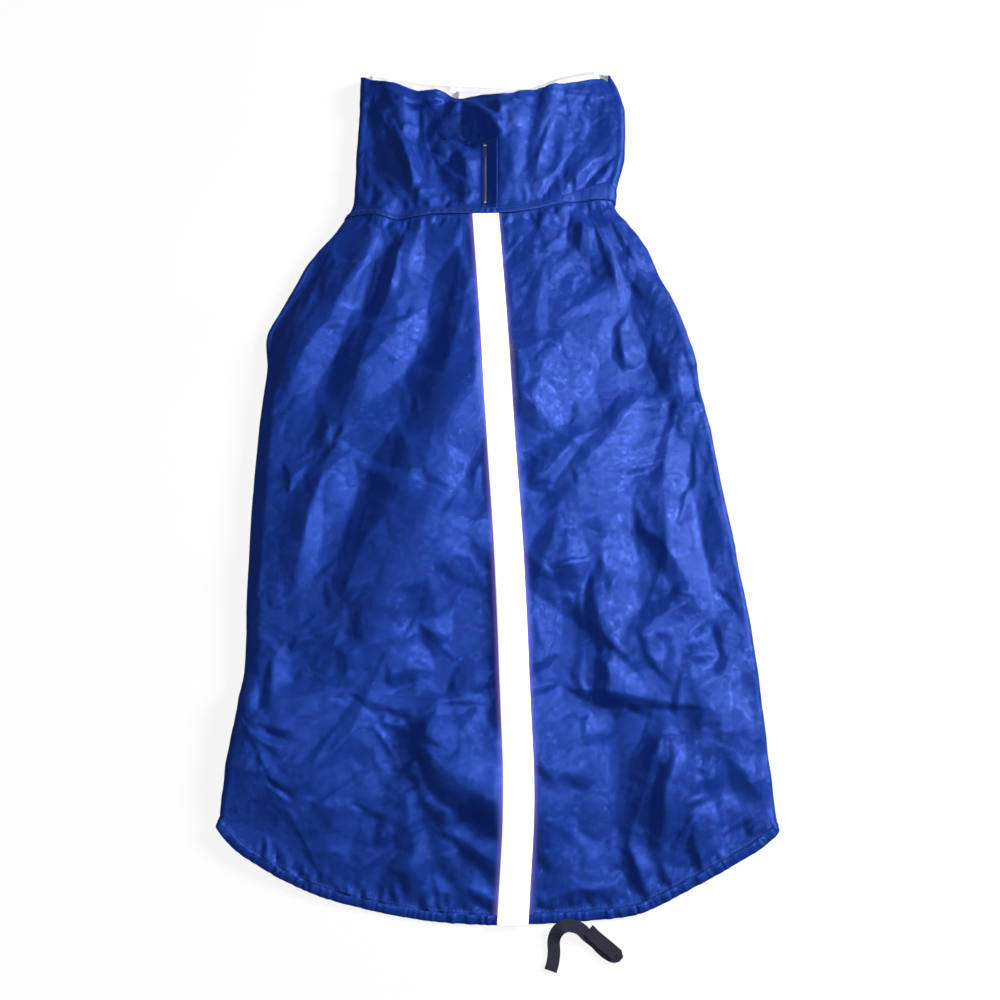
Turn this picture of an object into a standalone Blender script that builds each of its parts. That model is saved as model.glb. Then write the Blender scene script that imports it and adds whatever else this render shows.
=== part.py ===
"""A dog raincoat lying flat with its back up: collar towards +Y, curved tail hem towards -Y.

The coat is a flattened tube of cloth. Its girth is measured by one number, s: the back runs from -1
at the left fold to 1 at the right one, each fold turns from 1 to 2, and beyond 2 lies the underside.
All sizes are in millimetres and MM turns them into metres. The coat rests on z = 0.
"""

import math
from collections import namedtuple
from functools import lru_cache

import bpy
from mathutils import Vector

MM = 0.001

WALL = 1.6  # shell cloth and its bonded lining
GAP = 0.3  # between two pieces at a seam
TRIM_WALL = 0.8  # tape and welt
LINING_WALL = 1.0
TAPE_WIDTH = 20.0
CASING_WIDTH = 6.0  # along the cloth
CASING_THICK = 4.0
CASING_GAP = 0.6  # the casing turns a tight corner at each fold
UNDER_UNIT = 100.0  # one unit of s on the underside
FLANK_WIDTH = 98.0  # the fold to the free edge of a flank
SEAM_S = 2.03  # the side seams lie just under the folds
HEM_LIFT = 2.4  # outer side of the back above the surface, at the middle of the hem
HEM_RAMP = 75.0  # length over which the back comes down to the hem
CROWN_POWER = 2.4
SLIT_X, SLIT_WIDTH = -9.5, 1.2
BAND_LEFT, BAND_RIGHT = 3.0, 14.0  # height of the neck band at each end
BAND_WIDENS_X, BAND_FULL_X = 35.0, 92.0  # it widens between these
BAND_RAISE = 0.6
BAND_END = 1.8  # girth at which the band has tapered away
BAND_EASE = 0.6  # of a gap more room below the band, round the folds
LEFT_END_X, RIGHT_END_X = 14.0, -34.0  # free front edges, which overlap at the throat
STACK = 3.2  # the right front lies this high where it crosses the left one
STACK_RAMP = 14.0
SHARP_ANGLE = 50.0  # degrees; edges sharper than this are not shaded smooth
SETTLE_STEPS = 8

Station = namedtuple("Station", "y left right edge crown")
STATIONS = [  # outline, height of the rounded fold and rise of the back above it
    Station(-262, -182.5, 182.5, 9.0, 9.0),
    Station(-215, -177.5, 180.0, 9.5, 12.0),
    Station(-176, -172.5, 177.0, 10.0, 14.0),
    Station(-114, -174.3, 171.5, 10.0, 16.0),
    Station(-41, -175.3, 161.5, 10.0, 17.0),
    Station(12, -174.0, 154.5, 10.0, 17.0),
    Station(57, -171.5, 147.0, 10.0, 16.0),
    Station(86, -173.5, 140.0, 10.0, 15.0),
    Station(106, -164.5, 134.0, 10.5, 14.0),
    Station(124, -156.0, 126.5, 11.0, 13.0),
    Station(146, -145.5, 119.0, 12.0, 12.0),
    Station(160, -134.5, 113.5, 13.0, 11.0),
    Station(176, -122.5, 103.0, 13.5, 10.0),
    Station(194, -113.0, 91.0, 14.0, 9.0),
    Station(213, -112.3, 93.5, 14.0, 9.0),
    Station(235, -112.5, 99.0, 14.0, 10.0),
    Station(255, -112.0, 101.0, 14.0, 11.0),
    Station(280, -111.5, 101.5, 14.0, 12.0),
    Station(295, -111.0, 99.5, 14.0, 12.0),
    Station(310, -110.8, 94.0, 14.0, 12.0),
    Station(325, -110.5, 85.0, 14.0, 12.0),
]

Edge = namedtuple("Edge", "x y")
HEM = [
    Edge(-182, -262),
    Edge(-176, -274),
    Edge(-155, -289),
    Edge(-127, -303),
    Edge(-104, -311),
    Edge(-62, -320),
    Edge(-30, -324),
    Edge(10, -325),
    Edge(65, -322),
    Edge(92, -318),
    Edge(125, -303),
    Edge(152, -289),
    Edge(178, -273),
    Edge(182, -264),
]
NECK_SEAM = [
    Edge(-112, 184),
    Edge(-102, 183.5),
    Edge(-78, 178.5),
    Edge(-44, 180.5),
    Edge(4, 180.5),
    Edge(20, 182.5),
    Edge(37, 187.5),
    Edge(55, 193.5),
    Edge(92, 199.5),
]
COLLAR_BACK_EDGE = [
    Edge(-110, 311.5),
    Edge(-107, 309.5),
    Edge(-76, 297),
    Edge(-61, 292),
    Edge(-42, 291.5),
    Edge(-32, 285.2),
    Edge(-15, 285),
    Edge(-4, 282),
    Edge(7, 281.6),
    Edge(23, 289),
    Edge(44, 295),
    Edge(83, 310),
]
COLLAR_LEFT_FRONT_EDGE = [
    Edge(-108, 322),
    Edge(-96, 319.5),
    Edge(-60, 313),
    Edge(-36, 311),
    Edge(20, 308),
]
COLLAR_RIGHT_FRONT_EDGE = [
    Edge(-34, 304),
    Edge(-7, 302.4),
    Edge(10, 304.4),
    Edge(34, 312),
    Edge(50, 319),
    Edge(83, 325),
]
CHEST_LOWER_EDGE = [  # x here is the distance from the middle, on either side
    Edge(0, 58),
    Edge(40, 64),
    Edge(65, 84),
    Edge(85, 108),
    Edge(110, 120),
    Edge(165, 112),
]

Tape = namedtuple("Tape", "y x")
TAPE_MIDDLE = [
    Tape(-325, 9.5),
    Tape(-248, 13.5),
    Tape(-182, 11.5),
    Tape(-85, 7.5),
    Tape(0, 2),
    Tape(93, -3.5),
    Tape(194, -10.5),
]

Fold = namedtuple("Fold", "x0 y0 x1 y1 width height")
FOLDS = [  # ridges stand up, troughs have a height below zero
    Fold(-90, 184, -108, 128, 13, 3.5),
    Fold(-108, 128, -152, 40, 17, 4.0),
    Fold(-76, 182, -97, 112, 9, -3.5),
    Fold(-38, 122, -64, -8, 20, -3.0),
    Fold(-22, 20, -50, -62, 15, 3.0),
    Fold(-112, 6, -134, -84, 14, 2.5),
    Fold(-96, -190, -142, -248, 12, 2.5),
    Fold(-54, -224, -10, -266, 10, -3.0),
    Fold(24, -28, 88, 22, 11, 2.5),
    Fold(62, -84, 86, -152, 10, -3.5),
    Fold(92, -146, 128, -112, 9, 3.0),
    Fold(128, -112, 166, -128, 9, 2.5),
    Fold(62, 196, 104, 116, 8, -3.0),
    Fold(84, 190, 118, 118, 7, 2.5),
    Fold(104, 62, 96, -70, 14, -2.5),
    Fold(76, -200, 78, -288, 9, -3.5),
    Fold(112, -196, 102, -296, 10, 3.5),
    Fold(4, 296, 6, 208, 15, 4.5),
    Fold(-84, 292, -58, 206, 10, 3.5),
    Fold(-66, 284, -40, 206, 8, -3.0),
    Fold(44, 300, 22, 210, 10, 3.0),
    Fold(32, 286, 18, 214, 6, -2.5),
    Fold(88, 250, 56, 214, 9, 2.5),
]

LEG_EDGE_INNER = 45.0  # y of a flank's front edge at its free side
FLANK_HEM_OUTER, FLANK_HEM_INNER = -247.0, -150.0  # y of the hem on the underside, likewise
BELLY_BAND_FRONT, BELLY_BAND_REAR = 5.0, -45.0

ElasticPoint = namedtuple("ElasticPoint", "x y z")
ELASTIC_ROUTE = [  # out of the casing, over at the fold, back under itself, round to the cut end
    ElasticPoint(58, -327.0, 3.2),
    ElasticPoint(62, -331.0, 2.9),
    ElasticPoint(67, -335.0, 2.7),
    ElasticPoint(71.5, -338.5, 2.7),
    ElasticPoint(74.5, -341.0, 2.6),
    ElasticPoint(75.6, -342.2, 1.7),
    ElasticPoint(72.6, -342.6, 0.9),
    ElasticPoint(67.3, -339.4, 0.9),
    ElasticPoint(62, -334.3, 1.0),
    ElasticPoint(57, -330.6, 2.2),
    ElasticPoint(53.8, -327.4, 4.3),
    ElasticPoint(50.5, -325.4, 5.1),
    ElasticPoint(45, -324.3, 5.2),
    ElasticPoint(40.4, -325.8, 5.1),
    ElasticPoint(37.2, -329.2, 3.6),
    ElasticPoint(35.7, -334.0, 1.5),
    ElasticPoint(35.8, -340.5, 0.9),
    ElasticPoint(35, -346.5, 0.9),
    ElasticPoint(33.4, -351.5, 0.9),
]
ELASTIC_WIDTH, ELASTIC_THICK = 8.0, 1.2

Finish = namedtuple("Finish", "red green blue roughness")
NYLON = Finish(0.016, 0.05, 0.36, 0.36)
NYLON_SIDE = Finish(0.014, 0.045, 0.32, 0.38)
LINING = Finish(0.85, 0.86, 0.9, 0.8)
REFLECTIVE = Finish(0.86, 0.85, 0.87, 0.42)
ELASTIC = Finish(0.012, 0.012, 0.02, 0.85)


def smooth_value(rows, at):
    """The second column of a two-column table on a smooth curve through its rows, held flat past its ends."""
    if at <= rows[0][0]:
        return rows[0][1]
    if at >= rows[-1][0]:
        return rows[-1][1]
    i = max(k for k in range(len(rows) - 1) if rows[k][0] <= at)

    def slope(k):
        before, after = rows[max(k - 1, 0)], rows[min(k + 1, len(rows) - 1)]
        return (after[1] - before[1]) / (after[0] - before[0])

    (a, start), (b, end) = rows[i][:2], rows[i + 1][:2]
    t, span = (at - a) / (b - a), b - a
    return (
        start * (1 + 2 * t) * (1 - t) ** 2
        + slope(i) * span * t * (1 - t) ** 2
        + end * t * t * (3 - 2 * t)
        - slope(i + 1) * span * t * t * (1 - t)
    )


def smoothstep(t):
    t = min(max(t, 0.0), 1.0)
    return t * t * (3 - 2 * t)


def station(y):
    """Outline, fold height and crown of the coat at this y."""
    return Station(y, *(smooth_value([(row.y, row[k]) for row in STATIONS], y) for k in range(1, 5)))


def folds_height(x, y):
    """What all the folds add to the back at this place."""
    total = 0.0
    for fold in FOLDS:
        along_x, along_y = fold.x1 - fold.x0, fold.y1 - fold.y0
        length = math.hypot(along_x, along_y)
        t = ((x - fold.x0) * along_x + (y - fold.y0) * along_y) / length**2
        beyond = max(0.0, -t, t - 1) * length
        across = ((x - fold.x0) * along_y - (y - fold.y0) * along_x) / length
        fade = (across / fold.width) ** 2 + (beyond / (1.5 * fold.width)) ** 2
        total += fold.height * math.exp(-fade)
    return total


def hem_y(x):
    return smooth_value(HEM, x)


def back_z(s, x, y):
    """Height of the back's outer side: the crown between the folds, coming down to the surface at the hem."""
    here = station(y)
    high = here.edge + here.crown * (1 - abs(s) ** CROWN_POWER) + folds_height(x, y) * (1 - s**8)
    down = (1 - s**4) * (1 - smoothstep((y - hem_y(x)) / HEM_RAMP))
    return high * (1 - down) + HEM_LIFT * down


def back_x(s, y):
    here = station(y)
    inner_left, inner_right = here.left + here.edge / 2, here.right - here.edge / 2
    return inner_left + (inner_right - inner_left) * (s + 1) / 2


def s_of(x, y):
    """Where on the girth this x of the back lies."""
    left, right = back_x(-1, y), back_x(1, y)
    return 2 * (x - left) / (right - left) - 1


def ring(s, y, lift=0.0):
    """A point of the coat's outer side and the direction out of the cloth there."""
    if abs(s) <= 1:
        x = back_x(s, y)
        return Vector((x, y, back_z(s, x, y))), Vector((0, 0, 1))
    side = math.copysign(1, s)
    here = station(y)
    radius = here.edge / 2
    fold_x = here.right if side > 0 else here.left
    if abs(s) < 2:
        angle = math.pi * (1.5 - abs(s))
        out = Vector((side * math.cos(angle), 0, math.sin(angle)))
        return Vector((fold_x - side * radius, y, radius)) + out * radius, out
    x = fold_x - side * (radius + (abs(s) - 2) * UNDER_UNIT)
    return Vector((x, y, lift)), Vector((0, 0, -1))


def spread(first, last, steps):
    return [first + (last - first) * k / steps for k in range(steps + 1)]


def material(name, finish):
    made = bpy.data.materials.new(name)
    made.use_nodes = True
    shader = made.node_tree.nodes["Principled BSDF"]
    shader.inputs["Base Color"].default_value = (finish.red, finish.green, finish.blue, 1.0)
    shader.inputs["Roughness"].default_value = finish.roughness
    shader.inputs["Metallic"].default_value = 0.0
    made.diffuse_color = (finish.red, finish.green, finish.blue, 1.0)
    return made


def add_object(name, points, faces, finish):
    mesh = bpy.data.meshes.new(name)
    mesh.from_pydata([tuple(point * MM) for point in points], [], faces)
    mesh.materials.append(finish)
    mesh.shade_smooth()
    mesh.set_sharp_from_angle(angle=math.radians(SHARP_ANGLE))
    made = bpy.data.objects.new(name, mesh)
    bpy.context.scene.collection.objects.link(made)
    return made


def cloth(name, columns, rows, point, finish, wall=WALL, leave_out=(), facing_up=True):
    """One panel: a grid of points, faced out of the coat, given its wall inwards."""
    wide, high = len(columns), len(rows)
    cells = [(i, j) for i in range(wide - 1) for j in range(high - 1) if (i, j) not in leave_out]
    used = sorted({(i + a, j + b) for i, j in cells for a in (0, 1) for b in (0, 1)})
    index = {corner: k for k, corner in enumerate(used)}
    points = [point(columns[i], rows[j]) for i, j in used]
    faces = []
    for i, j in cells:
        face = [index[i, j], index[i + 1, j], index[i + 1, j + 1], index[i, j + 1]]
        faces.append(face if facing_up else face[::-1])
    made = add_object(name, points, faces, finish)
    solid = made.modifiers.new("Wall", "SOLIDIFY")
    solid.thickness = wall * MM
    solid.offset = -1.0
    solid.use_even_offset = True
    return made


def neck_y(x):
    return smooth_value(NECK_SEAM, x)


def band_height(x):
    widening = smoothstep((x - BAND_WIDENS_X) / (BAND_FULL_X - BAND_WIDENS_X))
    return BAND_LEFT + (BAND_RIGHT - BAND_LEFT) * widening


def collar_foot(x, on_back):
    """y of the collar's lower edge: above the neck band on the back, and at the fronts' seam underneath."""
    return neck_y(x) + (band_height(x) if on_back else 0.0) + 2.5 * GAP


def panel_hem_y(x):
    """The back panel stops where the casing starts, measured square to the hem."""
    step = 1.0
    slope = (hem_y(x + step) - hem_y(x - step)) / (2 * step)
    return hem_y(x) + (CASING_WIDTH + CASING_GAP) * math.hypot(1, min(abs(slope), 1.0))


def tape_x(y):
    return smooth_value(TAPE_MIDDLE, y)


BACK_STEPS = 22  # rows of the back
CHEST_STEPS, LEG_STEPS = 4, 5  # rows of the back at which a chest front ends and a flank starts
FLANK_COLUMNS, CHEST_COLUMNS = 7, 14
NECK_START, HEM_START, CHEST_START, COLLAR_START = 200.0, -280.0, 150.0, 250.0  # y from which a seam settles
BODY_ROWS = spread(0, 1, BACK_STEPS)
TAPE_LEFT, TAPE_MID, TAPE_RIGHT = -0.5, 0.0, 0.5
BACK_COLUMNS = [-SEAM_S, *spread(-2, -1, 4)[:-1], *spread(-1, TAPE_LEFT, 10), TAPE_MID]
BACK_COLUMNS += [*spread(TAPE_RIGHT, 1, 10), *spread(1, 2, 4)[1:], SEAM_S]


def back_girth(column, y):
    """The back's columns keep to the tape: its edges are the columns at -0.5 and 0.5."""
    if abs(column) >= 1:
        return column
    left, right = tape_x(y) - TAPE_WIDTH / 2, tape_x(y) + TAPE_WIDTH / 2
    if column < TAPE_LEFT:
        x = left + (back_x(-1, y) - left) * (TAPE_LEFT - column) / (1 + TAPE_LEFT)
    elif column > TAPE_RIGHT:
        x = right + (back_x(1, y) - right) * (column - TAPE_RIGHT) / (1 - TAPE_RIGHT)
    else:
        x = left + (right - left) * (column - TAPE_LEFT) / (TAPE_RIGHT - TAPE_LEFT)
    return s_of(x, y)


def settled(step, start):
    """The value that a rule gives back for itself, as the y where a seam crosses a slanting column."""
    value = start
    for _ in range(SETTLE_STEPS):
        value = step(value)
    return value


@lru_cache(None)
def back_ends(column):
    """y of a column at the neck seam and at the casing; on a fold it runs on to the flank's hem."""
    turn = min(max(abs(column) - 1, 0.0), 1.0)
    flat = max(min(column, 1.0), -1.0)
    top = settled(lambda y: neck_y(ring(back_girth(flat, y), y)[0].x), NECK_START) - GAP / 2
    low = settled(lambda y: panel_hem_y(ring(back_girth(flat, y), y)[0].x), HEM_START)
    return top, low + (FLANK_HEM_OUTER - low) * turn


def back_y(column, row):
    """y on the back panel: from the neck seam at row 0 to the hem at row 1."""
    top, low = back_ends(column)
    return top + (low - top) * row


def back_point(column, row):
    y = back_y(column, row)
    return ring(back_girth(column, y), y)[0]


def leg_edge_y(side, under):
    """A flank's front edge sweeps back from a row of the back panel, to make room for the leg."""
    outer = back_y(SEAM_S * side, LEG_STEPS / BACK_STEPS)
    return LEG_EDGE_INNER + (outer - LEG_EDGE_INNER) * (1 - under) ** 2


def flank_hem_y(under):
    return FLANK_HEM_OUTER + (FLANK_HEM_INNER - FLANK_HEM_OUTER) * under


def flank_point(side):
    def point(under, row):
        front, rear = leg_edge_y(side, under), flank_hem_y(under)
        y = front + (rear - front) * row
        start = SEAM_S + GAP / UNDER_UNIT
        reach = 2 + (FLANK_WIDTH - station(y).edge / 2) / UNDER_UNIT
        return ring(side * (start + (reach - start) * under), y)[0]

    return point


def front_lift(x, crosses):
    """The right front climbs over the left one where they overlap."""
    return STACK * smoothstep((LEFT_END_X + 2 * GAP + STACK_RAMP - x) / STACK_RAMP) if crosses else 0.0


def chest_point(side, free_edge_x):
    """across runs from the side seam at 0 to the free front edge at 1."""
    seam_foot = back_y(SEAM_S * side, CHEST_STEPS / BACK_STEPS)

    def x_at(across, y):
        seam_x = ring(SEAM_S * side, y)[0].x - side * GAP
        return seam_x + (free_edge_x - seam_x) * across

    def point(across, row):
        to_seam = (1 - across) ** 3

        def height(y):
            x = x_at(across, y)
            top, low = neck_y(x) - GAP / 2, smooth_value(CHEST_LOWER_EDGE, abs(x))
            return top + (low + (seam_foot - low) * to_seam - top) * row

        y = settled(height, CHEST_START)
        x = x_at(across, y)
        return Vector((x, y, front_lift(x, side > 0)))

    return point


def build_body():
    nylon, side_nylon = material("nylon", NYLON), material("nylon_side", NYLON_SIDE)
    cloth("back_panel", BACK_COLUMNS, BODY_ROWS, back_point, nylon, facing_up=False)
    for name, side in (("left_flank", -1), ("right_flank", 1)):
        rows = spread(0, 1, BACK_STEPS - LEG_STEPS)
        cloth(name, spread(0, 1, FLANK_COLUMNS), rows, flank_point(side), side_nylon, facing_up=side < 0)
    for name, side, free_edge in (("left_chest", -1, LEFT_END_X), ("right_chest", 1, RIGHT_END_X)):
        columns, rows = spread(0, 1, CHEST_COLUMNS), spread(0, 1, CHEST_STEPS)
        cloth(name, columns, rows, chest_point(side, free_edge), side_nylon, facing_up=side < 0)


def build_belly_band():
    def point(across, row):
        y = BELLY_BAND_FRONT + (BELLY_BAND_REAR - BELLY_BAND_FRONT) * row
        here = station(y)
        left, right = here.left + FLANK_WIDTH + GAP, here.right - FLANK_WIDTH - GAP
        return Vector((left + (right - left) * across, y, 0))

    cloth("belly_band", spread(0, 1, 6), spread(0, 1, 3), point, material("band", NYLON_SIDE))


def build_tape():
    def point(column, row):
        y = back_y(column, row)
        x = tape_x(y) + column * TAPE_WIDTH
        return ring(s_of(x, y), y)[0] + Vector((0, 0, TRIM_WALL + 1.5 * GAP))

    columns = [TAPE_LEFT, TAPE_MID, TAPE_RIGHT]
    finish = material("tape", REFLECTIVE)
    cloth("reflective_tape", columns, BODY_ROWS, point, finish, TRIM_WALL, facing_up=False)


COLLAR_ROWS = [0, 0.08, 0.2, 0.32, 0.45, 0.57, 0.7, 0.85, 1]
SLIT_ROWS = (1, 5)
LEFT_FRONT_COLUMNS = spread(-3, -2, 8)
RIGHT_FRONT_COLUMNS = spread(2, 3, 10)
SLIT_COLUMNS = [-0.04, 0.04]
WELT_COLUMNS = [-0.2] + SLIT_COLUMNS + [0.5]
COLLAR_COLUMNS = LEFT_FRONT_COLUMNS + spread(-2, -1, 4)[1:-1] + spread(-1, -0.2, 7) + SLIT_COLUMNS
COLLAR_COLUMNS += spread(0.5, 1, 6) + spread(1, 2, 4)[1:-1] + RIGHT_FRONT_COLUMNS
WELT_LEFT, WELT_RIGHT = 3.5, 9.0  # reach of the welt on each side of the slit
WELT_TOP = 0.62  # row at which the welt ends
COLLAR_HALF = 100.0  # half the collar's width, roughly
COLLAR_LEFT_X = -111.0  # the collar's left fold at its upper edge
LINING_END = 2.99  # the right lining stops just short of its front's free edge


def collar_back_x(column, y):
    """The collar's columns on the back keep to the leash slit and its welt."""
    left, right = back_x(-1, y), back_x(1, y)
    stops = [
        (-1, left),
        (-0.2, SLIT_X - WELT_LEFT),
        (-0.04, SLIT_X - SLIT_WIDTH / 2),
        (0.04, SLIT_X + SLIT_WIDTH / 2),
        (0.5, SLIT_X + WELT_RIGHT),
        (1, right),
    ]
    for (a, x0), (b, x1) in zip(stops, stops[1:]):
        if column <= b:
            return x0 + (x1 - x0) * (column - a) / (b - a)
    return right


def collar_point(column, row):
    """columns beyond -2 and 2 reach their free front edge at -3 and 3."""
    side = math.copysign(1, column)
    front_edge = COLLAR_RIGHT_FRONT_EDGE if side > 0 else COLLAR_LEFT_FRONT_EDGE
    turn = max(abs(column) - 1, 0.0)
    if turn < 1:
        flat = max(min(column, 1.0), -1.0)

        def height(y):
            x = ring(s_of(collar_back_x(flat, y), y), y)[0].x
            foot = collar_foot(x, True) * (1 - turn) + collar_foot(x, False) * turn
            top = smooth_value(COLLAR_BACK_EDGE, x) * (1 - turn) + smooth_value(front_edge, x) * turn
            return foot + (top - foot) * row

        y = settled(height, COLLAR_START)
        return ring(column if turn else s_of(collar_back_x(column, y), y), y)[0]
    free_edge_x = RIGHT_END_X if side > 0 else LEFT_END_X

    def under_x(y):
        here = station(y)
        fold_x = (here.right if side > 0 else here.left) - side * here.edge / 2
        return fold_x + (free_edge_x - fold_x) * (abs(column) - 2)

    def under_y(y):
        x = under_x(y)
        foot, top = collar_foot(x, False), smooth_value(front_edge, x)
        return foot + (top - foot) * row

    y = settled(under_y, COLLAR_START)
    x = under_x(y)
    return Vector((x, y, front_lift(x, side > 0)))


def build_collar():
    slit_column = COLLAR_COLUMNS.index(SLIT_COLUMNS[0])
    slit = {(slit_column, row) for row in range(*SLIT_ROWS)}
    cloth("collar", COLLAR_COLUMNS, COLLAR_ROWS, collar_point, material("collar", NYLON), leave_out=slit)

    def band_point(column, row):
        """The band tapers away round each fold."""
        turn = max(abs(column) - 1, 0.0)
        flat = max(min(column, 1.0), -1.0)
        x = settled(lambda x: collar_back_x(flat, neck_y(x)), flat * COLLAR_HALF)
        y = neck_y(x) + GAP * (0.5 + BAND_EASE * turn) + (band_height(x) - GAP) * (1 - turn) * row
        point, out = ring(column if turn else s_of(x, y), y)
        return point + out * (BAND_RAISE * (1 - turn))

    columns = [-BAND_END, *spread(-1.5, 1.5, 36), BAND_END]
    cloth("neck_band", columns, [0, 1], band_point, material("neck_band", NYLON))

    def welt_point(column, row):
        return collar_point(column, row) + Vector((0, 0, TRIM_WALL + 1.5 * GAP))

    rows = COLLAR_ROWS[SLIT_ROWS[0] - 1 : SLIT_ROWS[1] + 1] + [WELT_TOP]
    gap_cells = {(1, row) for row in range(1, len(rows) - 2)}
    cloth("leash_slit_welt", WELT_COLUMNS, rows, welt_point, material("welt", NYLON), TRIM_WALL, gap_cells)


def build_lining():
    """The white lining shows inside the far side of the collar, on each front."""
    white = material("lining", LINING)
    inside = Vector((0, 0, WALL + GAP))

    def lining_point(column, row):
        return collar_point(column, row) + inside

    reach = 1 - (RIGHT_END_X - LEFT_END_X) / (COLLAR_LEFT_X - LEFT_END_X)
    cloth("left_collar_lining", spread(-2 - reach, -2.0, 7), COLLAR_ROWS, lining_point, white, LINING_WALL)
    right_columns = RIGHT_FRONT_COLUMNS[:-1] + [LINING_END]
    cloth("right_collar_lining", right_columns, COLLAR_ROWS, lining_point, white, LINING_WALL)


CASING_STEPS = 14  # along a flank's hem


def swept(name, centres, across, up, outline, finish):
    """A closed outline carried along a path; across and up are the outline's own directions at each point."""
    points, faces, count = [], [], len(outline)
    for centre, side, top in zip(centres, across, up):
        points += [centre + side * a + top * b for a, b in outline]
    for k in range(len(centres) - 1):
        for n in range(count):
            m = (n + 1) % count
            faces.append((k * count + n, k * count + m, (k + 1) * count + m, (k + 1) * count + n))
    faces.append(tuple(reversed(range(count))))
    faces.append(tuple(range((len(centres) - 1) * count, len(centres) * count)))
    return add_object(name, points, faces, finish)


def directions(path):
    """The direction of a path at each of its points."""
    last = len(path) - 1
    return [(path[min(k + 1, last)] - path[max(k - 1, 0)]).normalized() for k in range(last + 1)]


def rounded_outline(width, thick, sides=8):
    """A flat oval: the section of a casing with its elastic inside."""
    outline = []
    for k in range(sides):
        angle = math.tau * (k + 0.5) / sides
        a, b = math.cos(angle), math.sin(angle)
        reach = 1 / max(abs(a), abs(b)) ** 0.5 / math.cos(math.pi / sides) ** 0.5
        outline.append((a * reach * width / 2, b * reach * thick / 2))
    widest, thickest = max(a for a, _ in outline), max(b for _, b in outline)
    return [(a * width / 2 / widest, b * thick / 2 / thickest) for a, b in outline]


def casing(name, edge, out, drop, finish):
    """The hem's casing along one stretch of a panel's edge."""
    tangents = directions(edge)
    across = [tangent.cross(normal).normalized() for tangent, normal in zip(tangents, out)]
    up = [side.cross(tangent).normalized() for side, tangent in zip(across, tangents)]
    centres = []
    for point, side, normal, down in zip(edge, across, out, drop):
        centres.append(point + side * (CASING_WIDTH / 2 + CASING_GAP) + normal * down)
    outline = rounded_outline(CASING_WIDTH, CASING_THICK)[::-1]
    made = swept(name, centres, across, up, outline, finish)
    for vertex in made.data.vertices:
        vertex.co.z = max(vertex.co.z, 0.0)


def build_casing():
    nylon = material("casing", NYLON)
    columns = BACK_COLUMNS
    fine = [a + (b - a) * t for a, b in zip(columns, columns[1:]) for t in (0, 0.5)] + [columns[-1]]
    edge, out, drop = [], [], []
    for column in fine:
        y = back_y(column, 1)
        point, normal = ring(back_girth(column, y), y)
        edge.append(point)
        out.append(normal)
        drop.append(-CASING_THICK / 2 if abs(column) > 1 else CASING_THICK / 2 - HEM_LIFT)
    casing("hem_casing", edge, out, drop, nylon)
    for name, side in (("left_hem_casing", -1), ("right_hem_casing", 1)):
        run = spread(0, 1, CASING_STEPS)
        edge = [flank_point(side)(under, 1) for under in (run if side > 0 else reversed(run))]
        down = [Vector((0, 0, -1))] * len(edge)
        casing(name, edge, down, [-CASING_THICK / 2] * len(edge), nylon)


def build_elastic():
    """The flat elastic's loose end, kept flat on its broad side all the way."""
    centres = [Vector(point) for point in ELASTIC_ROUTE]
    tangents = directions(centres)
    across = [Vector((-tangent.y, tangent.x, 0)).normalized() for tangent in tangents]
    up = [tangent.cross(side) for tangent, side in zip(tangents, across)]
    half, thick = ELASTIC_WIDTH / 2, ELASTIC_THICK / 2
    outline = [(-half, -thick), (half, -thick), (half, thick), (-half, thick)]
    swept("hem_elastic", centres, across, up, outline, material("elastic", ELASTIC))


def clear_scene():
    for existing in list(bpy.data.objects):
        bpy.data.objects.remove(existing)


clear_scene()
build_body()
build_belly_band()
build_tape()
build_collar()
build_lining()
build_casing()
build_elastic()
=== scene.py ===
"""Looks of a dog raincoat that lies flat with its back up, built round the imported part.

The coat is a flattened tube of cloth. s tells where a point lies round it: -1 to 1 across the back,
1 to 2 round a side fold, and past 2 underneath. Sizes are in millimetres, and MM makes them metres.
"""

import math
from collections import namedtuple

import bpy
import numpy as np
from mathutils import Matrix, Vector, geometry


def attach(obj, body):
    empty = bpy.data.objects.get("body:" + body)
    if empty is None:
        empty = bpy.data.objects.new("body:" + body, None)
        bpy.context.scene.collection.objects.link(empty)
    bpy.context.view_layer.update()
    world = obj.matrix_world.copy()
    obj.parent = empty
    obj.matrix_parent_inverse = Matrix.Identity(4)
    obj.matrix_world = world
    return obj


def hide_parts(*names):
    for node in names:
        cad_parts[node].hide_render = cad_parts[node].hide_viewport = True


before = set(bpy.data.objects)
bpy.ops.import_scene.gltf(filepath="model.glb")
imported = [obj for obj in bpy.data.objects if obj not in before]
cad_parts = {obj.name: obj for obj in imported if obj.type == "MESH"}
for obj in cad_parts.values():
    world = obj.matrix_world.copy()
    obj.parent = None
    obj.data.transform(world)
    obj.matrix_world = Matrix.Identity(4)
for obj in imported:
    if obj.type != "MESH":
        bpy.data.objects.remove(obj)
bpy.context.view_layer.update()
MM = 0.001

# View, floor and light. The coat lies on a pale floor and is seen from above and a little from its hem.
# A broad light stands at the upper right, and a weak one hangs over the coat, so creases show by slope.
# The room's own light is dim, so folds turned from the lights stay deep blue, and its wall looks pale.
VIEW_TILT = math.radians(17.0)
VIEW_DISTANCE, VIEW_CENTRE = 0.766, (0.0015, -0.041, 0.004)
camera_data = bpy.data.cameras.new("camera")
camera_data.lens = 38.6
camera_data.clip_start = 0.01
camera = bpy.data.objects.new("camera", camera_data)
camera.location = (
    VIEW_CENTRE[0],
    VIEW_CENTRE[1] - VIEW_DISTANCE * math.sin(VIEW_TILT),
    VIEW_CENTRE[2] + VIEW_DISTANCE * math.cos(VIEW_TILT),
)
camera.rotation_euler = (VIEW_TILT, 0.0, 0.0)
bpy.context.scene.collection.objects.link(camera)
bpy.context.scene.camera = camera
bpy.context.scene.view_settings.view_transform = "Standard"

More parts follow.
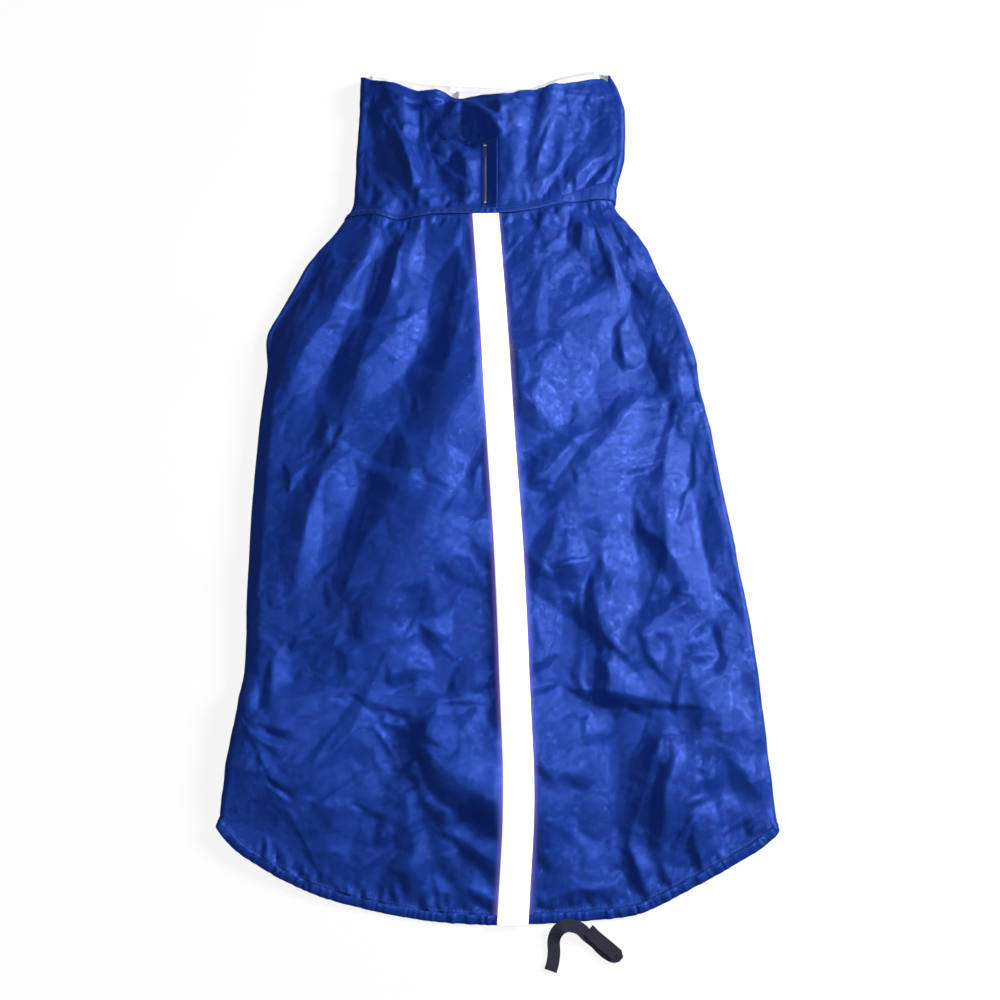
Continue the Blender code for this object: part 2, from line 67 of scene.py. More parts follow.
Lamp = namedtuple("Lamp", "name place size power colour")
for lamp in [
    Lamp("window_light", (1.75, 0.62, 1.02), 0.60, 67.0, (1.0, 0.98, 0.96)),
    Lamp("over_light", (0.03, -0.10, 1.25), 0.35, 7.5, (0.97, 0.98, 1.0)),
]:
    light_data = bpy.data.lights.new(lamp.name, "AREA")
    light_data.size = lamp.size
    light_data.energy = lamp.power
    light_data.color = lamp.colour
    light = bpy.data.objects.new(lamp.name, light_data)
    light.location = lamp.place
    aim = -light.location.normalized()
    light.rotation_euler = aim.to_track_quat("-Z", "Y").to_euler()
    bpy.context.scene.collection.objects.link(light)

world = bpy.data.worlds.new("studio")
world.use_nodes = True
room_light = world.node_tree.nodes["Background"]
room_light.inputs["Color"].default_value = (0.93, 0.95, 1.0, 1.0)
room_light.inputs["Strength"].default_value = 0.055
room_wall = world.node_tree.nodes.new("ShaderNodeBackground")
room_wall.inputs["Color"].default_value = (0.82, 0.83, 0.85, 1.0)
seen_directly = world.node_tree.nodes.new("ShaderNodeLightPath")
room = world.node_tree.nodes.new("ShaderNodeMixShader")
world.node_tree.links.new(seen_directly.outputs["Is Camera Ray"], room.inputs[0])
world.node_tree.links.new(room_light.outputs[0], room.inputs[1])
world.node_tree.links.new(room_wall.outputs[0], room.inputs[2])
world.node_tree.links.new(room.outputs[0], world.node_tree.nodes["World Output"].inputs["Surface"])
bpy.context.scene.world = world


class Signal:
    """An output of a material's node, so that sums on it can be written as Python expressions."""

    def __init__(self, finish, socket):
        self.finish, self.socket = finish, socket

    def sum(self, operation, first, second=None):
        values = {0: first} if second is None else {0: first, 1: second}
        return self.finish.node("ShaderNodeMath", {"operation": operation}, values)

    def __add__(self, other):
        return self.sum("ADD", self, other)

    def __mul__(self, other):
        return self.sum("MULTIPLY", self, other)

    def sine(self):
        return self.sum("SINE", self)

    def size(self):
        return self.sum("ABSOLUTE", self)

    def capped(self, low, high):
        values = {"Value": self, "From Min": low, "From Max": high}
        return self.finish.node("ShaderNodeMapRange", {"clamp": True}, values)


class Finish:
    """One material. fixed holds the shader's sockets that are the same all over."""

    def __init__(self, name, fixed):
        self.material = bpy.data.materials.new(name)
        self.material.use_nodes = True
        self.tree = self.material.node_tree
        self.shader = self.tree.nodes["Principled BSDF"]
        for socket, value in fixed.items():
            self.shader.inputs[socket].default_value = value

    def node(self, kind, settings, values, out=0):
        made = self.tree.nodes.new(kind)
        for key, value in settings.items():
            setattr(made, key, value)
        for key, value in values.items():
            self.plug(made.inputs[key], value)
        return Signal(self, made.outputs[out])

    def plug(self, socket, value):
        if isinstance(value, Signal):
            self.tree.links.new(value.socket, socket)
        else:
            socket.default_value = value

    def feed(self, socket, value):
        self.plug(self.shader.inputs[socket], value)

    def place(self):
        return self.node("ShaderNodeTexCoord", {}, {}, "Object")

    def uv(self):
        """The cloth's own two directions, in millimetres."""
        split = self.node("ShaderNodeUVMap", {"uv_map": "cloth"}, {})
        along = self.node("ShaderNodeSeparateXYZ", {}, {0: split}, "X")
        across = self.node("ShaderNodeSeparateXYZ", {}, {0: split}, "Y")
        return along * UV_UNIT, across * UV_UNIT

    def noise(self, size, detail=2.0, rough=0.5):
        """Soft noise, 0 to 1, whose lumps are about this many millimetres wide."""
        values = {"Vector": self.place(), "Scale": 1 / (size * MM)}
        values.update({"Detail": detail, "Roughness": rough})
        return self.node("ShaderNodeTexNoise", {}, values, "Fac")

    def mix(self, factor, first, second):
        settings = {"data_type": "RGBA"}
        return self.node("ShaderNodeMix", settings, {0: factor, 6: (*first, 1.0), 7: (*second, 1.0)}, 2)

    def bump(self, height, depth, under=None):
        """depth is in millimetres for a height from 0 to 1."""
        values = {"Height": height, "Distance": depth * MM, "Strength": 1.0}
        if under is not None:
            values["Normal"] = under
        return self.node("ShaderNodeBump", {}, values)


UV_UNIT = 100.0  # millimetres of cloth to one unit of the cloth UV map
SHARP_ANGLE = math.radians(60.0)


def add_piece(name, points, faces, finishes, uv=None, slots=None):
    """A mesh at the origin from points in millimetres; uv is one pair for each point."""
    mesh = bpy.data.meshes.new(name)
    mesh.from_pydata((np.asarray(points, float).reshape(-1, 3) * MM).tolist(), [], faces)
    if uv is not None:
        corners = np.empty(len(mesh.loops), np.int32)
        mesh.loops.foreach_get("vertex_index", corners)
        layer = mesh.uv_layers.new(name="cloth")
        layer.data.foreach_set("uv", (np.asarray(uv).reshape(-1, 2)[corners] / UV_UNIT).ravel())
    for finish in finishes:
        mesh.materials.append(finish.material)
    if slots is not None:
        mesh.polygons.foreach_set("material_index", np.asarray(slots, np.int32))
    mesh.shade_smooth()
    mesh.set_sharp_from_angle(angle=SHARP_ANGLE)
    piece = bpy.data.objects.new(name, mesh)
    bpy.context.scene.collection.objects.link(piece)
    return piece


floor_fixed = {"Roughness": 0.9, "Specular IOR Level": 0.1, "Emission Strength": 0.84}
floor_paint = Finish("floor_paint", floor_fixed)
floor_tone = floor_paint.noise(90.0)
floor_paint.feed("Base Color", floor_paint.mix(floor_tone, (0.15, 0.15, 0.15), (0.16, 0.16, 0.16)))
floor_paint.feed("Emission Color", floor_paint.mix(floor_tone, (0.99, 0.99, 0.99), (1.0, 1.0, 1.0)))
FLOOR_HALF, FLOOR_DROP = 2500.0, -0.2
floor_corners = [(-1, -1), (1, -1), (1, 1), (-1, 1)]
floor = add_piece(
    "floor",
    [(a * FLOOR_HALF, b * FLOOR_HALF, FLOOR_DROP) for a, b in floor_corners],
    [(0, 1, 2, 3)],
    [floor_paint],
)
floor.visible_glossy = False  # so that the folded sides do not mirror it at a grazing angle
floor.visible_diffuse = False


# Loose elastic. The end of the flat black elastic that runs in the hem, woven of rubber and polyester.
# It comes out under the hem, folds over at its turn, runs back under itself and ends cut and bare.
ELASTIC_ROUTE = [
    (58, -327.0, 3.2),
    (62, -331.0, 2.9),
    (67, -335.0, 2.7),
    (71.5, -338.5, 2.7),
    (74.5, -341.0, 2.6),
    (75.6, -342.2, 1.7),
    (72.6, -342.6, 0.9),
    (67.3, -339.4, 0.9),
    (62, -334.3, 1.0),
    (57, -330.6, 2.2),
    (53.8, -327.4, 4.3),
    (50.5, -325.4, 5.1),
    (45, -324.3, 5.2),
    (40.4, -325.8, 5.1),
    (37.2, -329.2, 3.6),
    (35.7, -334.0, 1.5),
    (35.8, -340.5, 0.9),
    (35, -346.5, 0.9),
    (33.4, -351.5, 0.9),
]
ELASTIC_WIDTH, ELASTIC_THICK, ELASTIC_STEP = 8.0, 1.2, 0.5
ELASTIC_RIBS = 7  # woven cords across its width


def finer(route, step):
    """Points every step along a smooth curve through the route's points."""
    route = np.asarray(route, float)
    padded = np.vstack([2 * route[0] - route[1], route, 2 * route[-1] - route[-2]])
    parts = []
    for a, b, c, d in zip(padded, padded[1:], padded[2:], padded[3:]):
        t = np.linspace(0, 1, 24, endpoint=False)[:, None]
        parts.append(
            0.5 * (2 * b + (c - a) * t + (2 * a - 5 * b + 4 * c - d) * t**2 + (3 * b - a - 3 * c + d) * t**3)
        )
    dense = np.vstack([*parts, route[-1:]])
    run = np.concatenate([[0], np.cumsum(np.linalg.norm(np.diff(dense, axis=0), axis=1))])
    at = np.linspace(0, run[-1], max(2, round(run[-1] / step) + 1))
    return np.column_stack([np.interp(at, run, dense[:, k]) for k in range(3)]), at


def unit(vectors):
    return vectors / np.maximum(np.linalg.norm(vectors, axis=-1, keepdims=True), 1e-9)


def swept(centres, across, up, outline):
    """Points and faces of a closed outline carried along a path, with both ends closed."""
    rings, count = len(centres), len(outline)
    outline = np.asarray(outline, float)
    points = (
        centres[:, None] + across[:, None] * outline[None, :, :1] + up[:, None] * outline[None, :, 1:]
    ).reshape(-1, 3)
    faces = [
        (k * count + n, k * count + (n + 1) % count, (k + 1) * count + (n + 1) % count, (k + 1) * count + n)
        for k in range(rings - 1)
        for n in range(count)
    ]
    faces += [tuple(reversed(range(count))), tuple(range((rings - 1) * count, rings * count))]
    return points, faces


elastic_line, elastic_run = finer(ELASTIC_ROUTE, ELASTIC_STEP)
elastic_along = unit(np.gradient(elastic_line, axis=0))
elastic_across = unit(np.column_stack([-elastic_along[:, 1], elastic_along[:, 0], 0 * elastic_run]))
elastic_up = np.cross(elastic_along, elastic_across)
rib_places = np.linspace(-1, 1, 4 * ELASTIC_RIBS + 1)
rib_heights = (0.80 + 0.20 * np.abs(np.sin(rib_places * math.pi * ELASTIC_RIBS / 2))) * ELASTIC_THICK / 2
elastic_outline = [(a * ELASTIC_WIDTH / 2, -b) for a, b in zip(rib_places, rib_heights)]
elastic_outline += [(a * ELASTIC_WIDTH / 2, b) for a, b in zip(rib_places[::-1], rib_heights[::-1])]
elastic_points, elastic_faces = swept(elastic_line, elastic_across, elastic_up, elastic_outline)
elastic_uv = [(at, a) for at in elastic_run for a, b in elastic_outline]

black_elastic = Finish("black_elastic", {"Specular IOR Level": 0.35})
along, across = black_elastic.uv()
PICK = 0.55  # millimetres between the elastic's cross threads
picks = (along * (math.tau / PICK)).sine() * (across * (math.tau * ELASTIC_RIBS / ELASTIC_WIDTH)).sine()
fuzz = black_elastic.noise(0.7, 3.0)
black_elastic.feed("Base Color", black_elastic.mix(fuzz, (0.006, 0.006, 0.016), (0.026, 0.028, 0.060)))
black_elastic.feed("Roughness", fuzz * 0.15 + 0.68)
black_elastic.feed("Normal", black_elastic.bump(picks * 0.5 + fuzz * 0.5, 0.12))
elastic = add_piece("loose_elastic", elastic_points, elastic_faces, [black_elastic], elastic_uv)
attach(elastic, "root")
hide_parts("hem_elastic")


# Back. One panel of coated royal-blue nylon taffeta over a white lining, cut from the neck seam to the
# tail hem and folded round at both sides. Packed away damp, it keeps long fold lines and sharp creases.
Station = namedtuple("Station", "y left right edge crown")
STATIONS = [  # outline, height of the rounded fold and rise of the back above it
    Station(-262, -182.5, 182.5, 9.0, 9.0),
    Station(-215, -177.5, 180.0, 9.5, 12.0),
    Station(-176, -172.5, 177.0, 10.0, 14.0),
    Station(-114, -174.3, 171.5, 10.0, 16.0),
    Station(-41, -175.3, 161.5, 10.0, 17.0),
    Station(12, -174.0, 154.5, 10.0, 17.0),
    Station(57, -171.5, 147.0, 10.0, 16.0),
    Station(86, -173.5, 140.0, 10.0, 15.0),
    Station(106, -164.5, 134.0, 10.5, 14.0),
    Station(124, -156.0, 126.5, 11.0, 13.0),
    Station(146, -145.5, 119.0, 12.0, 12.0),
    Station(160, -134.5, 113.5, 13.0, 11.0),
    Station(176, -122.5, 103.0, 13.5, 10.0),
    Station(194, -113.0, 91.0, 14.0, 9.0),
    Station(213, -112.3, 93.5, 14.0, 9.0),
    Station(235, -112.5, 99.0, 14.0, 10.0),
    Station(255, -112.0, 101.0, 14.0, 11.0),
    Station(280, -111.5, 101.5, 14.0, 12.0),
    Station(295, -111.0, 99.5, 14.0, 12.0),
    Station(310, -110.8, 94.0, 14.0, 12.0),
    Station(325, -110.5, 85.0, 14.0, 12.0),
]
HEM = [
    (-182, -262),
    (-176, -274),
    (-155, -289),
    (-127, -303),
    (-104, -311),
    (-62, -320),
    (-30, -324),
    (10, -325),
    (65, -322),
    (92, -318),
    (125, -303),
    (152, -289),
    (178, -273),
    (182, -264),
]
NECK_SEAM = [
    (-112, 184),
    (-102, 183.5),
    (-78, 178.5),
    (-44, 180.5),
    (4, 180.5),
    (20, 182.5),
    (37, 187.5),
    (55, 193.5),
    (92, 199.5),
]
TAPE_MIDDLE = [(-325, 9.5), (-248, 13.5), (-182, 11.5), (-85, 7.5), (0, 2), (93, -3.5), (194, -10.5)]
TAPE_WIDTH = 20.0
WALL, GAP = 1.6, 0.3
CASING_WIDTH, CASING_GAP = 6.0, 0.6
UNDER_UNIT, SEAM_S, FLANK_HEM_OUTER = 100.0, 2.03, -247.0
HEM_LIFT, HEM_RAMP, CROWN_POWER = 2.4, 75.0, 2.4

Fold = namedtuple("Fold", "x0 y0 x1 y1 width height")
BROAD_FOLDS = [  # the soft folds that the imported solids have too
    Fold(-90, 184, -108, 128, 13, 3.5),
    Fold(-108, 128, -152, 40, 17, 4.0),
    Fold(-76, 182, -97, 112, 9, -3.5),
    Fold(-38, 122, -64, -8, 20, -3.0),
    Fold(-22, 20, -50, -62, 15, 3.0),
    Fold(-112, 6, -134, -84, 14, 2.5),
    Fold(-96, -190, -142, -248, 12, 2.5),
    Fold(-54, -224, -10, -266, 10, -3.0),
    Fold(24, -28, 88, 22, 11, 2.5),
    Fold(62, -84, 86, -152, 10, -3.5),
    Fold(92, -146, 128, -112, 9, 3.0),
    Fold(128, -112, 166, -128, 9, 2.5),
    Fold(62, 196, 104, 116, 8, -3.0),
    Fold(84, 190, 118, 118, 7, 2.5),
    Fold(104, 62, 96, -70, 14, -2.5),
    Fold(76, -200, 78, -288, 9, -3.5),
    Fold(112, -196, 102, -296, 10, 3.5),
    Fold(4, 296, 6, 208, 15, 4.5),
    Fold(-84, 292, -58, 206, 10, 3.5),
    Fold(-66, 284, -40, 206, 8, -3.0),
    Fold(44, 300, 22, 210, 10, 3.0),
    Fold(32, 286, 18, 214, 6, -2.5),
    Fold(88, 250, 56, 214, 9, 2.5),
]

# A facet is a flat strip of cloth between two creases. It tilts towards the window light where its turn
# is above zero and away from it below zero. Its path is marked out from a point on the tape, on the
# floor as the camera sees it, and is then brought up under the same lines of sight to the cloth.
FACET_ORIGIN = (1.5, -41.0)
Facet = namedtuple("Facet", "width turn path opening", defaults=(0.45,))
BACK_FACETS = [
    # left shoulder
    Facet(
        19,
        0.42,
        [(-93, 224), (-95, 199), (-103, 175), (-114, 160), (-120, 140), (-134, 122), (-142, 104), (-152, 70)],
    ),
    Facet(
        7,
        -0.60,
        [(-68, 234), (-74, 219), (-78, 204), (-86, 194), (-91, 180), (-93, 167), (-99, 150), (-100, 139)],
    ),
    Facet(9, 0.45, [(-60, 232), (-63, 205), (-67, 172)]),
    Facet(5, 0.45, [(-77, 196), (-82, 160)]),
    Facet(24, 0.25, [(-56, 156), (-66, 130), (-80, 108)]),
    Facet(21, -0.36, [(-38, 156), (-46, 110), (-58, 60), (-68, 15)]),
    Facet(3.5, -0.50, [(-138, 135), (-114, 142)]),
    Facet(3.5, -0.50, [(-128, 107), (-89, 122)]),
    Facet(3.5, -0.50, [(-95, 135), (-72, 145), (-67, 157)]),
    Facet(3.5, -0.35, [(-57, 156), (-22, 162)]),
    Facet(5, 0.35, [(-30, 230), (-34, 196)]),
    # right shoulder
    Facet(11, -0.65, [(59, 243), (58, 222), (56, 199)]),
    Facet(15, -0.22, [(76, 231), (79, 162)]),
    Facet(3.5, -0.65, [(69, 238), (78, 205), (92, 162)]),
    Facet(3.5, 0.65, [(83, 214), (91, 182), (92, 162)]),
    Facet(4, -0.65, [(84, 233), (96, 206), (107, 186)]),
    Facet(3.5, -0.55, [(99, 180), (108, 162)]),
    Facet(9, -0.60, [(101, 158), (88, 139), (89, 120), (90, 100), (82, 79), (77, 58)]),
    Facet(3, -0.45, [(108, 138), (121, 138)]),
    Facet(17, -0.32, [(115, 135), (122, 73)]),
    Facet(10, 0.38, [(135, 119), (141, 74)]),
    Facet(15, -0.16, [(13, 220), (12, 183)]),
    Facet(9, -0.18, [(13, 151), (12, 136)]),
    Facet(38, 0.12, [(52, 136), (46, 58)]),
    Facet(3, -0.45, [(90, 89), (103, 99)]),
    # left side
    Facet(10, 0.50, [(-125, 27), (-131, 0), (-132, -30), (-138, -60)]),
    Facet(5, -0.55, [(-112, 64), (-123, 42), (-136, 22)]),
    Facet(14, -0.18, [(-103, 17), (-104, -42)]),
    Facet(3.5, -0.50, [(-132, -58), (-112, -40)]),
    Facet(3.5, -0.50, [(-104, -77), (-88, -63)]),
    Facet(4, -0.45, [(-79, -32), (-55, -20)]),
    Facet(3, -0.45, [(-64, -24), (-60, -51)]),
    Facet(3, -0.45, [(-72, -67), (-53, -62)]),
    Facet(5, -0.55, [(-28, 13), (-39, -8), (-44, -28), (-52, -48)]),
    Facet(6, -0.32, [(-8, -2), (-27, -26)]),
    Facet(8, -0.32, [(-15, 61), (-22, 16), (-14, -2)]),
    Facet(4, -0.50, [(-172, -85), (-152, -77), (-140, -65)]),
    Facet(3.5, -0.50, [(-139, -92), (-126, -80)]),
    Facet(7, -0.48, [(-111, -90), (-143, -110)]),
    Facet(4, -0.45, [(-123, -55), (-120, -79)]),
    Facet(10, -0.42, [(-58, -86), (-41, -110)]),
    # right side
    Facet(7, -0.55, [(76, 60), (58, 48), (50, 38), (36, 18), (14, 17)]),
    Facet(9, -0.45, [(16, 12), (40, 12)]),
    Facet(3, -0.45, [(51, 35), (56, 13)]),
    Facet(4, -0.55, [(122, 34), (106, 27), (85, 21)]),
    Facet(12, -0.52, [(95, 9), (100, -20), (110, -31), (127, -59), (127, -68), (102, -81), (90, -99)]),
    Facet(4, -0.55, [(136, 61), (142, 42), (141, 17), (133, 7), (128, -14), (141, -33)]),
    Facet(13, -0.38, [(151, 13), (153, -55)]),
    Facet(4, -0.55, [(146, -54), (162, -71), (170, -88)]),
    Facet(5, -0.50, [(148, -79), (155, -110)]),
    Facet(6, -0.50, [(59, -18), (82, -23)]),
    Facet(3, 0.65, [(32, -48), (61, -42), (68, -34)]),
    Facet(17, -0.30, [(35, -57), (62, -58)]),
    Facet(8, -0.58, [(64, -44), (63, -77), (68, -98), (80, -110)]),
    Facet(22, 0.32, [(87, -47), (86, -97)]),
    Facet(4, -0.55, [(94, -88), (101, -109)]),
    Facet(4, 0.45, [(113, -86), (108, -109)]),
    Facet(3, -0.45, [(102, -91), (119, -101)]),
    Facet(12, -0.32, [(41, -5), (20, -51)]),
    # lower left
    Facet(6, 0.62, [(-166, -126), (-165, -155)]),
    Facet(6, -0.50, [(-157, -108), (-158, -152)]),
    Facet(13, 0.32, [(-147, -98), (-151, -140)]),
    Facet(3.5, -0.62, [(-127, -98), (-137, -103), (-146, -113)]),
    Facet(3, -0.50, [(-129, -118), (-117, -110)]),
    Facet(12, 0.32, [(-114, -105), (-94, -104)]),
    Facet(3, 0.50, [(-129, -121), (-118, -127), (-93, -120)]),
    Facet(12, -0.42, [(-77, -106), (-95, -138), (-106, -160), (-125, -182), (-142, -202)]),
    Facet(6, 0.34, [(-95, -158), (-118, -184), (-140, -205)]),
    Facet(2.8, 0.65, [(-158, -194), (-148, -200), (-135, -209)]),
    Facet(3.2, -0.55, [(-155, -191), (-139, -203)]),
    Facet(4, 0.65, [(-174, -153), (-165, -163), (-150, -169), (-135, -171)]),
    Facet(5, -0.55, [(-163, -157), (-150, -163), (-138, -165)]),
    Facet(4, -0.35, [(-159, -171), (-146, -177)]),
    Facet(3, 0.45, [(-170, -188), (-154, -183)]),
    Facet(2.6, 0.55, [(-116, -141), (-104, -142)]),
    Facet(3, 0.55, [(-100, -157), (-84, -157), (-74, -168), (-65, -177)]),
    Facet(5, -0.62, [(-86, -158), (-73, -178), (-70, -186), (-60, -190), (-48, -198)]),
    Facet(5, 0.65, [(-67, -187), (-58, -181), (-53, -194)]),
    Facet(15, -0.50, [(-58, -170), (-47, -191), (-33, -203), (-15, -210), (2, -223)]),
    Facet(36, 0.24, [(-52, -148), (-38, -162), (-10, -182)]),
    Facet(18, -0.32, [(-80, -128), (-44, -129)]),
    Facet(3.5, -0.48, [(-78, -113), (-77, -134)]),
    Facet(18, -0.28, [(-25, -102), (-28, -140)]),
    Facet(6, -0.48, [(-46, -111), (-36, -125), (-35, -140)]),
    Facet(3, 0.65, [(-58, -112), (-50, -113), (-43, -122)]),
    Facet(10, 0.45, [(-41, -103), (-20, -106)]),
    Facet(8, 0.34, [(-77, -138), (-55, -132)]),
    Facet(6, 0.48, [(-78, -147), (-73, -158)]),
    Facet(5, -0.28, [(-101, -182), (-92, -202)]),
    Facet(6, -0.28, [(-87, -177), (-73, -202)]),
    Facet(4, 0.58, [(-44, -221), (-60, -230), (-72, -240), (-88, -252), (-94, -264)]),
    Facet(6, -0.46, [(-38, -211), (-55, -222), (-80, -236), (-90, -245)]),
    Facet(9, -0.32, [(-49, -225), (-60, -240), (-82, -257)]),
    Facet(12, 0.42, [(-37, -210), (-20, -231), (-1, -242)]),
    Facet(8, -0.52, [(-45, -225), (-25, -234), (-8, -248), (3, -252)]),
    Facet(13, 0.28, [(-56, -263), (-49, -243)]),
    Facet(11, 0.36, [(-16, -249), (-10, -270)]),
    Facet(8, -0.40, [(-22, -261), (-2, -276)]),
    Facet(3, 0.45, [(-101, -209), (-87, -216)]),
    Facet(11, 0.22, [(-132, -236), (-98, -232)]),
    # lower right
    Facet(10, -0.58, [(68, -98), (70, -125), (67, -142), (72, -160)]),
    Facet(3, -0.45, [(46, -116), (56, -135)]),
    Facet(3, 0.50, [(55, -123), (65, -145)]),
    Facet(10, -0.22, [(41, -128), (59, -152)]),
    Facet(4, 0.50, [(96, -100), (101, -118), (112, -130), (119, -134)]),
    Facet(8, -0.60, [(96, -101), (104, -119), (116, -134)]),
    Facet(5, -0.50, [(125, -118), (120, -138), (116, -162)]),
    Facet(8, -0.55, [(116, -158), (115, -180), (107, -195), (103, -220), (99, -247)]),
    Facet(5, 0.60, [(111, -161), (104, -185), (99, -205)]),
    Facet(11, 0.50, [(100, -196), (95, -217), (91, -235), (97, -258)]),
    Facet(12, -0.24, [(93, -158), (84, -185), (80, -210), (76, -242)]),
    Facet(5, -0.50, [(79, -183), (73, -210), (70, -248)]),
    Facet(13, 0.34, [(88, -141), (84, -174)]),
    Facet(3, -0.62, [(85, -141), (98, -150)]),
    Facet(5, -0.50, [(120, -102), (130, -112), (145, -115)]),
    Facet(7, -0.52, [(149, -98), (154, -112), (148, -122), (133, -124)]),
    Facet(8, 0.44, [(129, -99), (149, -108)]),
    Facet(28, -0.18, [(135, -124), (135, -182)]),
    Facet(16, 0.34, [(160, -112), (166, -192)]),
    Facet(13, -0.46, [(151, -178), (160, -195), (167, -210)]),
    Facet(3, -0.50, [(129, -184), (139, -191)]),
    Facet(7, -0.36, [(122, -206), (135, -197), (151, -198)]),
    Facet(3, 0.55, [(111, -233), (120, -220), (128, -209), (149, -203)]),
    Facet(4.5, -0.85, [(109, -239), (120, -225), (129, -210)]),
    Facet(5, -0.40, [(143, -217), (148, -202)]),
    Facet(13, 0.28, [(151, -204), (141, -242)]),
    Facet(4, -0.42, [(143, -231), (160, -222), (177, -213)]),
    Facet(6, -0.50, [(147, -238), (165, -230), (181, -221)]),
    Facet(6, -0.90, [(77, -235), (85, -242), (88, -255), (92, -265), (97, -275)]),
    Facet(4, 0.62, [(83, -249), (70, -257)]),
    Facet(3, 0.45, [(39, -249), (52, -258), (62, -260), (74, -258), (84, -249)]),
    Facet(17, -0.36, [(18, -272), (84, -270)]),
    Facet(3, 0.62, [(82, -261), (90, -270), (84, -277)]),
    Facet(6, -0.62, [(104, -244), (107, -264)]),
    Facet(3, -0.26, [(37, -181), (59, -164)]),
    Facet(3, -0.24, [(44, -193), (61, -177)]),
    Facet(3, -0.30, [(45, -211), (59, -221)]),
    Facet(7, -0.38, [(24, -183), (39, -205)]),
    Facet(5, -0.34, [(24, -219), (40, -225), (56, -242)]),
    Facet(6, -0.42, [(23, -236), (34, -254)]),
    # broad leans of the cloth, under the creases
    Facet(19, -0.36, [(-131, 203), (-162, 135), (-176, 79), (-177, -43), (-174, -127), (-180, -206)], 0.2),
    Facet(22, -0.38, [(-79, 217), (-111, 123), (-128, 59)], 0.2),
    Facet(24, 0.32, [(-64, 131), (-87, 103), (-111, 77)], 0.2),
    Facet(26, -0.34, [(-33, 208), (-45, 135), (-65, 69)], 0.2),
    Facet(40, 0.36, [(-6, 101), (-37, 47), (-63, -3)], 0.2),
    Facet(30, -0.34, [(-76, 59), (-82, 1), (-91, -66)], 0.2),
    Facet(26, 0.32, [(-108, 39), (-124, -21), (-134, -80)], 0.2),
    Facet(60, 0.30, [(-3, -14), (-42, -65), (-86, -101)], 0.2),
    Facet(30, -0.26, [(-21, -105), (-69, -114), (-119, -130)], 0.2),
    Facet(50, 0.26, [(-41, -144), (-2, -210)], 0.2),
    Facet(22, -0.32, [(-71, -156), (-40, -206), (-10, -243)], 0.2),
    Facet(90, 0.14, [(-106, -134), (-131, -233)], 0.2),
    Facet(70, 0.14, [(50, 135), (40, 13)], 0.2),
    Facet(20, -0.38, [(58, 228), (77, 195), (98, 164)], 0.2),
    Facet(14, -0.32, [(114, 109), (81, 63), (45, 21)], 0.2),
    Facet(30, -0.36, [(105, 186), (142, 71)], 0.2),
    Facet(38, -0.34, [(147, 71), (166, -43), (171, -148)], 0.2),
    Facet(24, 0.12, [(125, 35), (135, -36), (142, -100)], 0.2),
    Facet(22, -0.24, [(101, 18), (107, -43), (97, -103)], 0.2),
    Facet(26, 0.26, [(87, -14), (82, -93)], 0.2),
    Facet(18, -0.32, [(69, -37), (68, -138)], 0.2),
    Facet(24, -0.28, [(95, -151), (94, -253)], 0.2),
    Facet(44, 0.36, [(42, -130), (36, -262)], 0.1),
    Facet(34, 0.28, [(-22, -40), (-58, -74), (-96, -108)], 0.2),
    Facet(30, 0.16, [(159, -158), (148, -238)], 0.2),
    # narrower leans beside them
    Facet(20, 0.34, [(-21, -28), (-32, -65), (-41, -100)], 0.2),
    Facet(18, 0.32, [(-48, -32), (-66, -72), (-81, -107)], 0.2),
    Facet(18, 0.32, [(-80, -14), (-93, -50), (-104, -86)], 0.2),
    Facet(16, 0.30, [(-57, 24), (-71, -14)], 0.2),
    Facet(18, 0.34, [(-20, -206), (-36, -238), (-52, -268)], 0.2),
    Facet(18, 0.30, [(-64, -154), (-80, -190)], 0.2),
    Facet(16, 0.30, [(-98, -206), (-107, -244)], 0.2),
    Facet(18, 0.34, [(32, -43), (36, -100), (34, -154)], 0.2),
    Facet(18, 0.30, [(30, 95), (44, 39)], 0.2),
    Facet(16, 0.32, [(40, -187), (42, -244)], 0.2),
    Facet(18, 0.32, [(68, -134), (70, -181), (65, -232)], 0.2),
    Facet(18, -0.30, [(133, 87), (138, 39)], 0.2),
    Facet(18, -0.30, [(117, -100), (128, -154), (124, -181)], 0.2),
    Facet(18, -0.30, [(-82, 234), (-92, 169), (-81, 127)], 0.2),
    Facet(16, -0.30, [(-131, 203), (-145, 161)], 0.2),
]
FACET_SLOPE = 1.00  # rise over run of a facet whose turn is 1
FACET_FADING = 0.35  # part of its length; its opening is a part of its length too
FACET_RETURN = 1.9  # the cloth beside a facet levels out over this many of its widths
WINDOW = (0.8, 0.6)


def smooth_value(rows, at, column=1):
    """A column of a table on a smooth curve through its rows, held flat past its ends."""
    rows = np.asarray(rows, float)
    places, values = rows[:, 0], rows[:, column]
    last = len(rows) - 1
    before, after = np.maximum(np.arange(last + 1) - 1, 0), np.minimum(np.arange(last + 1) + 1, last)
    slope = (values[after] - values[before]) / (places[after] - places[before])
    k = np.clip(np.searchsorted(places, at, side="right") - 1, 0, last - 1)
    span = places[k + 1] - places[k]
    t = np.clip((at - places[k]) / span, 0, 1)
    return (
        values[k] * (1 + 2 * t) * (1 - t) ** 2
        + slope[k] * span * t * (1 - t) ** 2
        + values[k + 1] * t * t * (3 - 2 * t)
        - slope[k + 1] * span * t * t * (1 - t)
    )


def smoothstep(t):
    t = np.clip(t, 0, 1)
    return t * t * (3 - 2 * t)


def station(y):
    return Station(y, *(smooth_value(STATIONS, y, column) for column in range(1, 5)))


